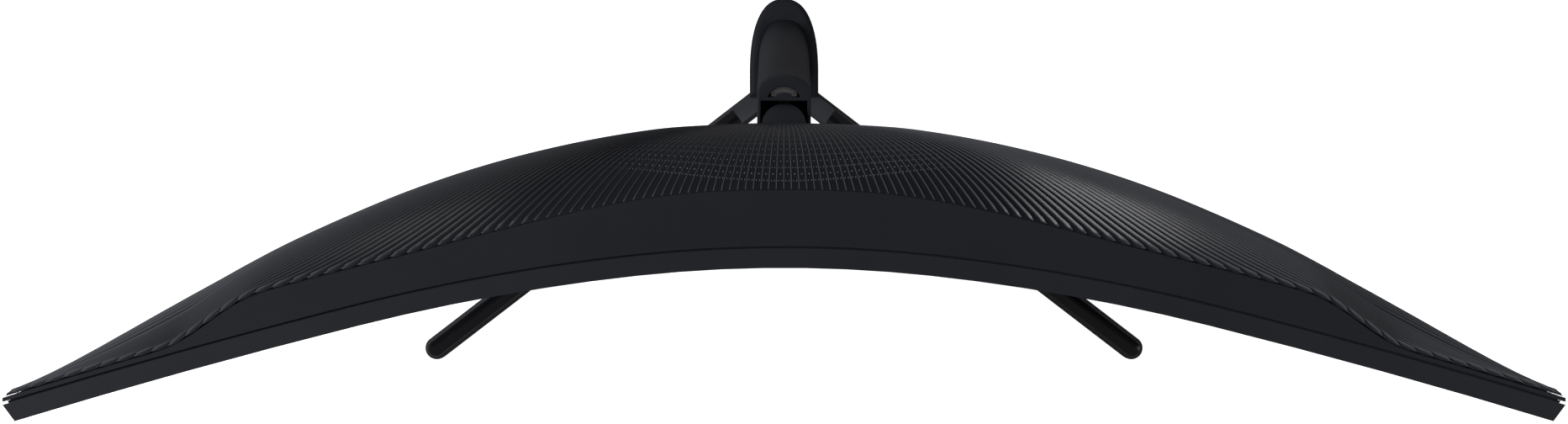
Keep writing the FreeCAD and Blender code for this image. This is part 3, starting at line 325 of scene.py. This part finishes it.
def group_socket(group, name, kind, direction, default=None):
    socket = group.interface.new_socket(name=name, in_out=direction, socket_type=kind)
    if default is not None:
        socket.default_value = default
    return socket


def make_moulded_grain():
    """Fine grain, faint cloudiness of the colour and handling wear of a surface."""
    group = bpy.data.node_groups.new("moulded_grain", "ShaderNodeTree")
    group_socket(group, "Vector", "NodeSocketVector", "INPUT")
    group_socket(group, "Base", "NodeSocketColor", "INPUT", (0.04, 0.04, 0.045, 1))
    group_socket(group, "Light", "NodeSocketColor", "INPUT", (0.06, 0.06, 0.065, 1))
    group_socket(group, "Grain Scale", "NodeSocketFloat", "INPUT", 1500.0)
    group_socket(group, "Roughness", "NodeSocketFloat", "INPUT", 0.45)
    group_socket(group, "Roughness Spread", "NodeSocketFloat", "INPUT", 0.08)
    group_socket(group, "Color", "NodeSocketColor", "OUTPUT")
    group_socket(group, "Roughness", "NodeSocketFloat", "OUTPUT")
    group_socket(group, "Height", "NodeSocketFloat", "OUTPUT")
    nodes, links = group.nodes, group.links
    given = nodes.new("NodeGroupInput")
    out = nodes.new("NodeGroupOutput")
    grain = nodes.new("ShaderNodeTexNoise")
    grain.inputs["Detail"].default_value = 2.0
    links.new(given.outputs["Vector"], grain.inputs["Vector"])
    links.new(given.outputs["Grain Scale"], grain.inputs["Scale"])
    cloud = nodes.new("ShaderNodeTexNoise")
    cloud.inputs["Scale"].default_value = 22.0
    cloud.inputs["Detail"].default_value = 4.0
    links.new(given.outputs["Vector"], cloud.inputs["Vector"])
    speck = nodes.new("ShaderNodeMath")
    speck.operation = "MULTIPLY_ADD"
    speck.inputs[1].default_value = 0.55
    links.new(grain.outputs["Fac"], speck.inputs[0])
    half = nodes.new("ShaderNodeMath")
    half.operation = "MULTIPLY"
    half.inputs[1].default_value = 0.45
    links.new(cloud.outputs["Fac"], half.inputs[0])
    links.new(half.outputs[0], speck.inputs[2])
    mix = nodes.new("ShaderNodeMix")
    mix.data_type = "RGBA"
    links.new(speck.outputs[0], mix.inputs["Factor"])
    links.new(given.outputs["Base"], mix.inputs["A"])
    links.new(given.outputs["Light"], mix.inputs["B"])
    rough = nodes.new("ShaderNodeMath")
    rough.operation = "MULTIPLY_ADD"
    shifted = nodes.new("ShaderNodeMath")
    shifted.operation = "SUBTRACT"
    shifted.inputs[1].default_value = 0.5
    links.new(cloud.outputs["Fac"], shifted.inputs[0])
    links.new(shifted.outputs[0], rough.inputs[0])
    links.new(given.outputs["Roughness Spread"], rough.inputs[1])
    links.new(given.outputs["Roughness"], rough.inputs[2])
    links.new(mix.outputs["Result"], out.inputs["Color"])
    links.new(rough.outputs[0], out.inputs["Roughness"])
    links.new(grain.outputs["Fac"], out.inputs["Height"])
    return group


FINISHES = [
    # name, base, lighter tone, roughness, spread, grain per metre, grain depth, metallic, coat, specular
    ("frame_satin", (0.0125, 0.0135, 0.0175), (0.0175, 0.019, 0.024), 0.4, 0.1, 2600, 0.1, 0.0, 0.0, 0.22),
    ("shelf_satin", (0.0105, 0.0115, 0.015), (0.0175, 0.019, 0.024), 0.42, 0.1, 1500, 0.25, 0.0, 0.0, 0.16),
    ("rib_satin", (0.0085, 0.0092, 0.0125), (0.013, 0.014, 0.018), 0.3, 0.08, 2600, 0.08, 0.0, 0.0, 0.22),
    # painted highlight: the dots are far lighter than the ribbed moulding they belong to, for the light
    # caught on their tops
    ("dot_highlight_satin", (0.105, 0.11, 0.125), (0.15, 0.155, 0.17), 0.26, 0.06, 3000, 0.05, 0.0, 0.0, 0.4),
    # painted highlight: the beads are far lighter than the mouldings they edge, for the light caught along
    # these rounded edges
    ("bead_highlight_satin", (0.026, 0.028, 0.034), (0.036, 0.038, 0.046), 0.3, 0.06, 3000, 0.05, 0.0, 0.0, 0.5),
    ("chin_satin", (0.0105, 0.011, 0.013), (0.017, 0.0175, 0.02), 0.38, 0.08, 2600, 0.1, 0.0, 0.0, 0.2),
    ("stand_satin", (0.013, 0.014, 0.018), (0.019, 0.02, 0.025), 0.36, 0.08, 2200, 0.1, 0.0, 0.0, 0.12),
    ("leg_paint", (0.03, 0.0315, 0.037), (0.04, 0.0415, 0.048), 0.34, 0.06, 2400, 0.06, 0.0, 0.0, 0.5),
    ("leg_gloss_black", (0.0035, 0.0036, 0.0048), (0.006, 0.0062, 0.0078),
     0.18, 0.06, 900, 0.01, 0.0, 0.3, 0.25),
    ("screen_coating", (0.006, 0.006, 0.008), (0.011, 0.011, 0.014), 0.3, 0.04, 6000, 0.02, 0.0, 0.0, 0.5),
    ("white_film", (0.8, 0.81, 0.83), (0.88, 0.89, 0.9), 0.5, 0.05, 900, 0.02, 0.0, 0.0, 0.5),
    ("guide_clear", (0.7, 0.76, 0.79), (0.78, 0.83, 0.85), 0.12, 0.04, 900, 0.01, 0.0, 0.0, 0.5),
    ("led_tape", (0.72, 0.66, 0.34), (0.86, 0.82, 0.55), 0.5, 0.1, 300, 0.1, 0.0, 0.0, 0.5),
    ("zinc_sheet", (0.46, 0.47, 0.48), (0.6, 0.61, 0.63), 0.36, 0.16, 240, 0.04, 0.9, 0.0, 0.5),
    ("solder_mask", (0.01, 0.1, 0.045), (0.02, 0.16, 0.07), 0.34, 0.1, 500, 0.1, 0.0, 0.2, 0.5),
    ("tinned_shell", (0.58, 0.58, 0.57), (0.7, 0.7, 0.69), 0.26, 0.12, 700, 0.03, 1.0, 0.0, 0.5),
    ("socket_black", (0.014, 0.014, 0.015), (0.024, 0.024, 0.026), 0.48, 0.1, 2400, 0.1, 0.0, 0.0, 0.5),
    ("screw_zinc", (0.42, 0.42, 0.43), (0.56, 0.56, 0.57), 0.32, 0.16, 1400, 0.06, 1.0, 0.0, 0.5),
    ("turned_steel", (0.3, 0.3, 0.31), (0.42, 0.42, 0.43), 0.3, 0.14, 1600, 0.08, 1.0, 0.0, 0.5),
    ("bush_bronze", (0.58, 0.38, 0.16), (0.7, 0.5, 0.25), 0.34, 0.12, 1600, 0.06, 1.0, 0.0, 0.5),
    ("hub_coat", (0.012, 0.0125, 0.014), (0.02, 0.0205, 0.023), 0.52, 0.1, 1100, 0.3, 0.0, 0.0, 0.15),
    ("pad_rubber", (0.012, 0.012, 0.012), (0.02, 0.02, 0.02), 0.82, 0.08, 1800, 0.25, 0.0, 0.0, 0.3),
    ("stick_satin", (0.013, 0.013, 0.016), (0.021, 0.021, 0.025), 0.36, 0.08, 2200, 0.1, 0.0, 0.0, 0.5),
    ("lamp_lens", (0.7, 0.78, 0.86), (0.8, 0.86, 0.92), 0.18, 0.04, 900, 0.01, 0.0, 0.0, 0.5),
]

NODE_FINISH = {
    "frame_plastic": "frame_satin", "cover_plastic": "shelf_satin", "screen_glass": "screen_coating",
    "film_sheet": "white_film", "guide_acrylic": "guide_clear", "led_strip": "led_tape",
    "steel_sheet": "zinc_sheet", "circuit_board": "solder_mask", "socket_metal": "tinned_shell",
    "socket_plastic": "socket_black", "screw_steel": "screw_zinc", "hinge_steel": "turned_steel",
    "stand_plastic": "stand_satin", "bush_brass": "bush_bronze", "hub_metal": "hub_coat",
    "leg_metal": "leg_paint", "leg_gloss": "leg_gloss_black", "pad_rubber": "pad_rubber",
    "stick_plastic": "stick_satin", "light_lens": "lamp_lens",
}


def add_crest_highlights(material, tone, roughness):
    """Ridge tops painted lighter, a painted highlight, and made smoother than the grooves between them."""
    nodes, links = material.node_tree.nodes, material.node_tree.links
    shader = nodes["Principled BSDF"]
    crest = nodes.new("ShaderNodeAttribute")
    crest.attribute_name = "crest"
    sharp = nodes.new("ShaderNodeMath")
    sharp.operation = "POWER"
    sharp.inputs[1].default_value = 2.5
    links.new(crest.outputs["Fac"], sharp.inputs[0])
    # painted highlight mixed into the colour on the ridge tops
    colour = nodes.new("ShaderNodeMix")
    colour.data_type = "RGBA"
    colour.inputs["B"].default_value = (*tone, 1)
    links.new(sharp.outputs[0], colour.inputs["Factor"])
    links.new(shader.inputs["Base Color"].links[0].from_socket, colour.inputs["A"])
    links.new(colour.outputs["Result"], shader.inputs["Base Color"])
    polish = nodes.new("ShaderNodeMix")
    polish.inputs["B"].default_value = roughness
    links.new(sharp.outputs[0], polish.inputs["Factor"])
    links.new(shader.inputs["Roughness"].links[0].from_socket, polish.inputs["A"])
    links.new(polish.outputs["Result"], shader.inputs["Roughness"])


def make_finish(group, name, base, light, roughness, spread, scale, depth, metallic, coat, specular):
    material = bpy.data.materials.new(name)
    material.use_nodes = True
    nodes, links = material.node_tree.nodes, material.node_tree.links
    shader = nodes["Principled BSDF"]
    where = nodes.new("ShaderNodeTexCoord")
    grain = nodes.new("ShaderNodeGroup")
    grain.node_tree = group
    grain.inputs["Base"].default_value = (*base, 1)
    grain.inputs["Light"].default_value = (*light, 1)
    grain.inputs["Grain Scale"].default_value = scale
    grain.inputs["Roughness"].default_value = roughness
    grain.inputs["Roughness Spread"].default_value = spread
    bump = nodes.new("ShaderNodeBump")
    bump.inputs["Strength"].default_value = depth
    bump.inputs["Distance"].default_value = GRAIN_RELIEF
    links.new(where.outputs["Object"], grain.inputs["Vector"])
    links.new(grain.outputs["Color"], shader.inputs["Base Color"])
    links.new(grain.outputs["Roughness"], shader.inputs["Roughness"])
    links.new(grain.outputs["Height"], bump.inputs["Height"])
    links.new(bump.outputs["Normal"], shader.inputs["Normal"])
    shader.inputs["Metallic"].default_value = metallic
    shader.inputs["Specular IOR Level"].default_value = specular
    shader.inputs["Coat Weight"].default_value = coat
    shader.inputs["Coat Roughness"].default_value = COAT_ROUGHNESS
    return material


class MONITOR_OT_finishes(bpy.types.Operator):
    """Makes every finish and gives each CAD node its own"""

    bl_idname = "monitor.finishes"
    bl_label = "Finishes"

    def execute(self, context):
        group = make_moulded_grain()
        for finish in FINISHES:
            make_finish(group, *finish)
        add_crest_highlights(bpy.data.materials["rib_satin"], CREST_HIGHLIGHT_TONE, CREST_ROUGHNESS)
        slots = {row["node"]: row["material_slot"] for row in frame["record"]["subparts"]}
        for name, obj in frame["nodes"].items():
            obj.data.materials.clear()
            obj.data.materials.append(bpy.data.materials[NODE_FINISH[slots[name]]])
        frame["nodes"]["chin_bar"].data.materials[0] = bpy.data.materials["chin_satin"]
        return {"FINISHED"}


# ------------------------------------------------------------------ ribbed back

def rib_table():
    """Cumulative rib number along the top edge and down the side, from the middle of the top."""
    p = bpy.context.scene.monitor_sizes
    quarter = HALF_WIDTH + HALF_HEIGHT
    length = np.linspace(0.0, quarter, 4001)
    pitch = p.rib_pitch + p.rib_growth * blend(length / GROWTH_LENGTH)
    count = np.concatenate([[0.0], np.cumsum(0.5 * (1 / pitch[1:] + 1 / pitch[:-1]) * np.diff(length))])
    whole = round(count[-1])
    return length, count * whole / count[-1], whole


def rim_point(length):
    """Offset from the middle of the back to its rim, for a length along the quarter rim."""
    x = np.minimum(length, HALF_WIDTH)
    z = HALF_HEIGHT - np.maximum(length - HALF_WIDTH, 0.0)
    return x, np.maximum(z, 0.0)


def rib_path(rim_x, rim_z, radius):
    """Point on a rib: it runs in from the rim, drawn out sideways towards the tips."""
    p = bpy.context.scene.monitor_sizes
    reach = np.hypot(rim_x, rim_z)
    inner = p.plain_radius / reach
    gone = np.clip((1 - radius / reach) / (1 - inner), 0.0, 1.0)
    draw = 1 + p.rib_draw * blend((np.abs(rim_x) - 0.06) / 0.2)
    return rim_x * radius / reach, rim_z * (1 - (1 - inner) * gone ** draw)


def rib_skin(name, side):
    """Pattern skin over one half of the back, ribs running in towards the middle."""
    p = bpy.context.scene.monitor_sizes
    length, count, whole = rib_table()
    numbers, line, saw = [], [], []
    for rib in range(whole):
        for step, low, high in zip(RIB_STEPS, LINE_PROFILE, SAW_PROFILE):
            numbers.append(rib + step)
            line.append(low)
            saw.append(high)
    numbers.append(whole)
    line.append(1.0)
    saw.append(1.0)
    numbers, line, saw = np.array(numbers), np.array(line), np.array(saw)
    along = np.interp(numbers, count, length)
    upper_x, upper_z = rim_point(along)
    rim_x = side * np.concatenate([upper_x, upper_x[-2::-1]])
    rim_z = np.concatenate([upper_z, -upper_z[-2::-1]])
    share = blend((along - 0.055) / 0.16)
    profile = line * (1 - share) + saw * share
    height = p.rib_height + (p.flank_height - p.rib_height) * share
    relief = np.concatenate([profile * height, (profile * height)[-2::-1]])
    # the rim stays just inside the cover's own edges
    rim_x = np.clip(rim_x, -(HALF_WIDTH - 0.0012), HALF_WIDTH - 0.0012)
    rim_z = np.clip(rim_z, -(HALF_HEIGHT - 0.0003), HALF_HEIGHT - 0.0003)
    reach = np.sqrt(rim_x ** 2 + rim_z ** 2)
    rows = np.linspace(0.0, 1.0, SKIN_ROWS) ** 1.35
    radius = reach[None, :] - (reach - p.plain_radius)[None, :] * rows[:, None]
    x, z = rib_path(rim_x[None, :], rim_z[None, :], radius)
    near_rim = blend((reach[None, :] - radius) / RIM_FADE)
    near_middle = blend((radius - p.plain_radius) / MIDDLE_FADE)
    raised = p.skin_lift + relief[None, :] * (radius / reach) * (0.5 + 0.5 * near_rim) * near_middle
    points = lifted(x, z + MIDDLE_Z, raised)
    tallest = HALF_HEIGHT - SKIN_EDGE
    points[..., 2] = np.clip(points[..., 2], MIDDLE_Z - tallest, MIDDLE_Z + tallest)
    obj = grid(name, len(rim_x), SKIN_ROWS)
    set_points(obj, points)
    # crest mask: where the painted highlight on the ridge tops goes
    crest = np.concatenate([profile, profile[-2::-1]])[None, :] * near_middle
    attribute = obj.data.attributes.new("crest", "FLOAT", "POINT")
    attribute.data.foreach_set("value", crest.astype(np.float32).reshape(-1))
    return obj


def cut_window(obj, low, high):
    """Clears a rectangle of the back, with straight edges."""
    clear_selection()
    obj.select_set(True)
    bpy.context.view_layer.objects.active = obj
    bpy.ops.object.mode_set(mode="EDIT")
    mesh = bmesh.from_edit_mesh(obj.data)
    planes = [((low[0], 0, 0), (1, 0, 0)), ((high[0], 0, 0), (1, 0, 0)),
              ((0, 0, low[1]), (0, 0, 1)), ((0, 0, high[1]), (0, 0, 1))]
    margin = 0.008
    for place, normal in planes:
        near = [f for f in mesh.faces
                if low[0] - margin < f.calc_center_median().x < high[0] + margin
                and low[1] - margin < f.calc_center_median().z < high[1] + margin]
        around = set(near)
        for face in near:
            around.update(face.edges)
            around.update(face.verts)
        bmesh.ops.bisect_plane(mesh, geom=list(around), dist=1e-7, plane_co=place, plane_no=normal)
    gone = [f for f in mesh.faces
            if low[0] < f.calc_center_median().x < high[0] and low[1] < f.calc_center_median().z < high[1]]
    bmesh.ops.delete(mesh, geom=gone, context="FACES")
    bmesh.update_edit_mesh(obj.data)
    bpy.ops.object.mode_set(mode="OBJECT")


class MONITOR_OT_ribbed_back(bpy.types.Operator):
    """Ribs that run in towards the hinge over both halves of the back"""

    bl_idname = "monitor.ribbed_back"
    bl_label = "Ribbed back"

    def execute(self, context):
        for name, side in (("back_ribs_left", -1), ("back_ribs_right", 1)):
            obj = rib_skin(name, side)
            if side > 0:
                tray_low, tray_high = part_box("connector_tray")
                cut_window(obj, (tray_low[0], tray_low[2]), (tray_high[0], tray_high[2]))
            recalculate(obj)
            average = sum(f.normal.y * f.area for f in obj.data.polygons)
            if average < 0:
                recalculate(obj, inside=True)
            finish_piece(obj, "display", "rib_satin", smooth=24.0)
        return {"FINISHED"}


# each bead is a rounded edge strip coloured light as a painted highlight
BEADS = [
    # piece, depth behind the front edge (None follows the shelf), length off the tips, CAD slot
    ("shelf_highlight_bead", None, 0.1223, "cover_plastic"),
    ("frame_seam_highlight_bead", 0.0100, 0.0040, "frame_plastic"),
    ("cover_seam_highlight_bead", 0.0114, 0.0040, "cover_plastic"),
]


def bead(name, fixed, margin, z_side):
    """Fine bead along one of the long edges, its top just under the flat of the frame, coloured light as a
    painted highlight of the rounded edge.
    """
    end = HALF_WIDTH - margin
    x = np.linspace(-end, end, BEAD_STATIONS)
    depth = shelf_edge(x) + 0.0002 if fixed is None else np.full_like(x, fixed)
    y, angle = plan_curve(x)
    points = []
    for offset, lift in zip(BEAD_ACROSS, BEAD_RISE):
        level = MIDDLE_Z + z_side * (HALF_HEIGHT + lift)
        points.append(np.stack([x, y + (depth + offset) / np.cos(angle), np.full_like(x, level)], axis=-1))
    obj = grid(name, len(x), len(BEAD_ACROSS))
    set_points(obj, np.array(points))
    solid = obj.modifiers.new("closed", "SOLIDIFY")
    solid.thickness = 0.0002
    bpy.ops.object.modifier_apply(modifier="closed")
    recalculate(obj)
    return finish_piece(obj, "display", "bead_highlight_satin", smooth=60.0)


class MONITOR_OT_edge_beads(bpy.types.Operator):
    """Fine beads along the shelf and both sides of the seam, coloured light as painted edge highlights"""

    bl_idname = "monitor.edge_beads"
    bl_label = "Edge beads"

    def execute(self, context):
        for name, depth, margin, slot in BEADS:
            bead(name + "_top", depth, margin, 1)
            bead(name + "_bottom", depth, margin, -1)
        return {"FINISHED"}


def dome_template():
    """One small dome: a primitive cone closed by a poked cap."""
    clear_selection()
    bpy.ops.mesh.primitive_cone_add(
        vertices=DOT_SIDES, radius1=1.0, radius2=0.55, depth=0.7, end_fill_type="NOTHING")
    obj = bpy.context.object
    bpy.ops.object.mode_set(mode="EDIT")
    mesh = bmesh.from_edit_mesh(obj.data)
    top = max(v.co.z for v in mesh.verts)
    rim = [e for e in mesh.edges if all(abs(v.co.z - top) < 1e-4 for v in e.verts)]
    made = bmesh.ops.edgeloop_fill(mesh, edges=rim)
    poke = bmesh.ops.poke(mesh, faces=made["faces"])
    for vertex in poke["verts"]:
        vertex.co.z += 0.3
    bmesh.update_edit_mesh(obj.data)
    bpy.ops.object.mode_set(mode="OBJECT")
    points = np.array([v.co[:] for v in obj.data.vertices])
    points[:, 2] -= points[:, 2].min()
    faces = [tuple(face.vertices) for face in obj.data.polygons]
    bpy.data.objects.remove(obj, do_unlink=True)
    return points, faces


def dot_rows():
    """Row radii from the rim of the dotted field inwards, closer together near the rim."""
    p = bpy.context.scene.monitor_sizes
    radius, step, rows = p.dot_field, ROW_STEP, []
    while radius > p.plain_radius + 0.012:
        rows.append(radius)
        radius -= step
        step = min(step + ROW_STEP_GROWTH, ROW_STEP_LARGEST)
    return rows


def dots(name, side):
    """Rows of small raised dots between the ribs: single domes and pairs of dashes in turn, coloured light as
    a painted highlight.
    """
    p = bpy.context.scene.monitor_sizes
    shape, shape_faces = dome_template()
    length, count, whole = rib_table()
    vertices, faces = [], []
    tray_low, tray_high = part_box("connector_tray")
    for row, radius in enumerate(dot_rows()):
        paired = row % 2 == 0
        for rib in range(whole):
            along = np.interp(rib + 0.5, count, length)
            rim_x, rim_z = rim_point(along)
            reach = math.hypot(rim_x, rim_z)
            pitch_here = (np.interp(rib + 1, count, length) - np.interp(rib, count, length)) * radius / reach
            fade = 1.0 - float(blend((radius / reach * rim_x - 0.055) / 0.075))
            inside = 0.85 if radius < reach - 0.003 else 0.0
            size = min(pitch_here, DOT_LARGEST) * inside * (0.35 + 0.65 * fade)
            if size < DOT_SMALLEST:
                continue
            for up in (1, -1):
                outer_x, outer_z = rib_path(rim_x, rim_z, radius + 0.0005)
                inner_x, inner_z = rib_path(rim_x, rim_z, radius - 0.0005)
                direction = Vector((side * (outer_x - inner_x), 0, up * (outer_z - inner_z))).normalized()
                tangent = Vector((direction.z, 0, -direction.x))
                for shift in (-PAIR_SHIFT, PAIR_SHIFT) if paired else (0.0,):
                    x = side * (outer_x + inner_x) / 2 + tangent.x * shift * pitch_here
                    z = up * (outer_z + inner_z) / 2 + tangent.z * shift * pitch_here + MIDDLE_Z
                    if (tray_low[0] - TRAY_MARGIN < x < tray_high[0] + TRAY_MARGIN
                            and tray_low[2] - TRAY_MARGIN < z < tray_high[2] + TRAY_MARGIN):
                        continue
                    wide, tall = (size * part for part in (DASH if paired else SINGLE))
                    lx = x + tangent.x * shape[:, 0] * wide + direction.x * shape[:, 1] * tall
                    lz = z + tangent.z * shape[:, 0] * wide + direction.z * shape[:, 1] * tall
                    lift = p.skin_lift - DOT_SINK + shape[:, 2] * size * DOT_HEIGHT
                    base = len(vertices) * len(shape)
                    vertices.append((lx, lz, lift))
                    faces.extend(tuple(base + i for i in face) for face in shape_faces)
    x = np.concatenate([v[0] for v in vertices])
    z = np.concatenate([v[1] for v in vertices])
    lift = np.concatenate([v[2] for v in vertices])
    mesh = bpy.data.meshes.new(name)
    mesh.from_pydata(lifted(x, z, lift).tolist(), [], faces)
    mesh.update()
    obj = bpy.data.objects.new(name, mesh)
    bpy.context.scene.collection.objects.link(obj)
    return obj


class MONITOR_OT_dotted_field(bpy.types.Operator):
    """Raised dots between the ribs around the hinge, coloured light as a painted highlight"""

    bl_idname = "monitor.dotted_field"
    bl_label = "Dotted field"

    def execute(self, context):
        for name, side in (("back_dots_left", -1), ("back_dots_right", 1)):
            obj = dots(name, side)
            recalculate(obj)
            finish_piece(obj, "display", "dot_highlight_satin", smooth=70.0)
        return {"FINISHED"}


ROUNDED = [
    # CAD node, piece, body, slot, finish, corner radius, segments
    ("connector_tray", "recess_liner", "display", "cover_plastic", "shelf_satin", 0.0003, 2),
    ("hinge_cover", "hinge_dome", "display", "stand_plastic", "stand_satin", 0.0006, 3),
    ("neck_shell", "neck_rear_shell", "stand", "stand_plastic", "stand_satin", 0.0007, 3),
    ("neck_front_cover", "neck_front_strip", "stand", "stand_plastic", "stand_satin", 0.0005, 2),
    ("neck_cap", "neck_top_cap", "stand", "stand_plastic", "stand_satin", 0.0006, 3),
    ("base_collar", "collar_ring", "stand", "stand_plastic", "stand_satin", 0.0008, 3),
    ("base_hub", "hub_block", "stand", "hub_metal", "hub_coat", 0.0005, 2),
    ("left_leg", "leg_beam_left", "stand", "leg_metal", "leg_paint", 0.0006, 3),
    ("right_leg", "leg_beam_right", "stand", "leg_metal", "leg_paint", 0.0006, 3),
    ("left_leg_inlay", "leg_strip_left", "stand", "leg_gloss", "leg_gloss_black", 0.00025, 2),
    ("right_leg_inlay", "leg_strip_right", "stand", "leg_gloss", "leg_gloss_black", 0.00025, 2),
    ("foot_pads", "rubber_feet", "stand", "pad_rubber", "pad_rubber", 0.0005, 3),
    ("control_stick", "stick_button", "stick", "stick_plastic", "stick_satin", 0.0006, 3),
    ("base_screw", "thumb_screw", "screw", "hinge_steel", "turned_steel", 0.0003, 2),
]


class MONITOR_OT_rounded_mouldings(bpy.types.Operator):
    """Mouldings, castings and turned pieces with their corners rounded"""

    bl_idname = "monitor.rounded_mouldings"
    bl_label = "Rounded mouldings"

    def execute(self, context):
        for node, name, body, slot, finish, width, segments in ROUNDED:
            obj = bevelled_copy(node, name, width, segments)
            finish_piece(obj, body, finish, (node,), smooth=35.0)
        return {"FINISHED"}


# ------------------------------------------------------------------ studio

def area_light(name, place, size, power):
    data = bpy.data.lights.new(name, "AREA")
    data.shape = "RECTANGLE"
    data.size, data.size_y = size
    data.energy = power
    lamp = bpy.data.objects.new(name, data)
    bpy.context.scene.collection.objects.link(lamp)
    lamp.location = place
    lamp.rotation_euler = (Vector(LIGHT_TARGET) - Vector(place)).to_track_quat("-Z", "Y").to_euler()
    return lamp


def make_floor():
    """Pale paper that glows where the camera looks straight at it, and is grey to every other ray."""
    material = bpy.data.materials.new("studio_floor")
    material.use_nodes = True
    nodes, links = material.node_tree.nodes, material.node_tree.links
    shader = nodes["Principled BSDF"]
    path = nodes.new("ShaderNodeLightPath")
    where = nodes.new("ShaderNodeTexCoord")
    fibre = nodes.new("ShaderNodeTexNoise")
    fibre.inputs["Scale"].default_value = 400.0
    paper = nodes.new("ShaderNodeMix")
    paper.data_type = "RGBA"
    paper.inputs["A"].default_value = (0.91, 0.91, 0.915, 1)
    paper.inputs["B"].default_value = (0.95, 0.95, 0.955, 1)
    links.new(where.outputs["Object"], fibre.inputs["Vector"])
    links.new(fibre.outputs["Fac"], paper.inputs["Factor"])
    seen = nodes.new("ShaderNodeMix")
    seen.data_type = "RGBA"
    seen.inputs["A"].default_value = (0.10, 0.10, 0.105, 1)
    links.new(path.outputs["Is Camera Ray"], seen.inputs["Factor"])
    links.new(paper.outputs["Result"], seen.inputs["B"])
    glow = nodes.new("ShaderNodeMix")
    glow.data_type = "RGBA"
    glow.inputs["A"].default_value = (0.0, 0.0, 0.0, 1)
    glow.inputs["B"].default_value = (1.0, 1.0, 1.0, 1)
    links.new(path.outputs["Is Camera Ray"], glow.inputs["Factor"])
    links.new(seen.outputs["Result"], shader.inputs["Base Color"])
    links.new(glow.outputs["Result"], shader.inputs["Emission Color"])
    shader.inputs["Emission Strength"].default_value = 0.9
    shader.inputs["Roughness"].default_value = 0.9
    return material


class MONITOR_OT_studio(bpy.types.Operator):
    """Pale floor, soft lights and the camera above the display"""

    bl_idname = "monitor.studio"
    bl_label = "Studio"

    def execute(self, context):
        s = context.scene.monitor_studio
        clear_selection()
        bpy.ops.mesh.primitive_plane_add(size=FLOOR_SIZE, location=(0, 0, 0))
        floor = context.object
        floor.name = "studio_floor"
        floor.data.materials.append(make_floor())
        world = bpy.data.worlds.new("studio_air")
        world.use_nodes = True
        world.node_tree.nodes["Background"].inputs["Color"].default_value = (1.0, 1.0, 1.0, 1)
        world.node_tree.nodes["Background"].inputs["Strength"].default_value = AIR_STRENGTH
        context.scene.world = world
        for light in LIGHTS:
            area_light(*light)
        camera_data = bpy.data.cameras.new("overhead_camera")
        camera_data.lens = s.lens
        camera_data.sensor_width = 36.0
        camera = bpy.data.objects.new("overhead_camera", camera_data)
        context.scene.collection.objects.link(camera)
        camera.location = (0.0, s.camera_y, FRAME_HIGH[2] + s.camera_height)
        camera.rotation_euler = (s.camera_pitch, 0, 0)
        context.scene.camera = camera
        context.scene.view_settings.view_transform = "Standard"
        return {"FINISHED"}


class MONITOR_PT_panel(bpy.types.Panel):
    """Steps that build the monitor, in order"""

    bl_label = "Curved Monitor"
    bl_idname = "MONITOR_PT_panel"
    bl_space_type = "VIEW_3D"
    bl_region_type = "UI"
    bl_category = "Monitor"

    def draw(self, context):
        column = self.layout.column()
        for step in STEPS:
            column.operator(step)
        for settings in (context.scene.monitor_sizes, context.scene.monitor_studio):
            for key in settings.bl_rna.properties.keys():
                if key not in ("rna_type", "name"):
                    column.prop(settings, key)


STEPS = [
    "monitor.finishes",
    "monitor.rounded_mouldings",
    "monitor.ribbed_back",
    "monitor.edge_beads",
    "monitor.dotted_field",
    "monitor.studio",
]

CLASSES = (
    MonitorSizes,
    StudioSettings,
    MONITOR_OT_finishes,
    MONITOR_OT_rounded_mouldings,
    MONITOR_OT_ribbed_back,
    MONITOR_OT_edge_beads,
    MONITOR_OT_dotted_field,
    MONITOR_OT_studio,
    MONITOR_PT_panel,
)


def register():
    for cls in CLASSES:
        bpy.utils.register_class(cls)
    bpy.types.Scene.monitor_sizes = bpy.props.PointerProperty(type=MonitorSizes)
    bpy.types.Scene.monitor_studio = bpy.props.PointerProperty(type=StudioSettings)


def unregister():
    del bpy.types.Scene.monitor_sizes
    del bpy.types.Scene.monitor_studio
    for cls in reversed(CLASSES):
        bpy.utils.unregister_class(cls)


def main():
    register()
    for step in STEPS:
        package, name = step.split(".")
        getattr(getattr(bpy.ops, package), name)()


if __name__ == "__main__":
    main()
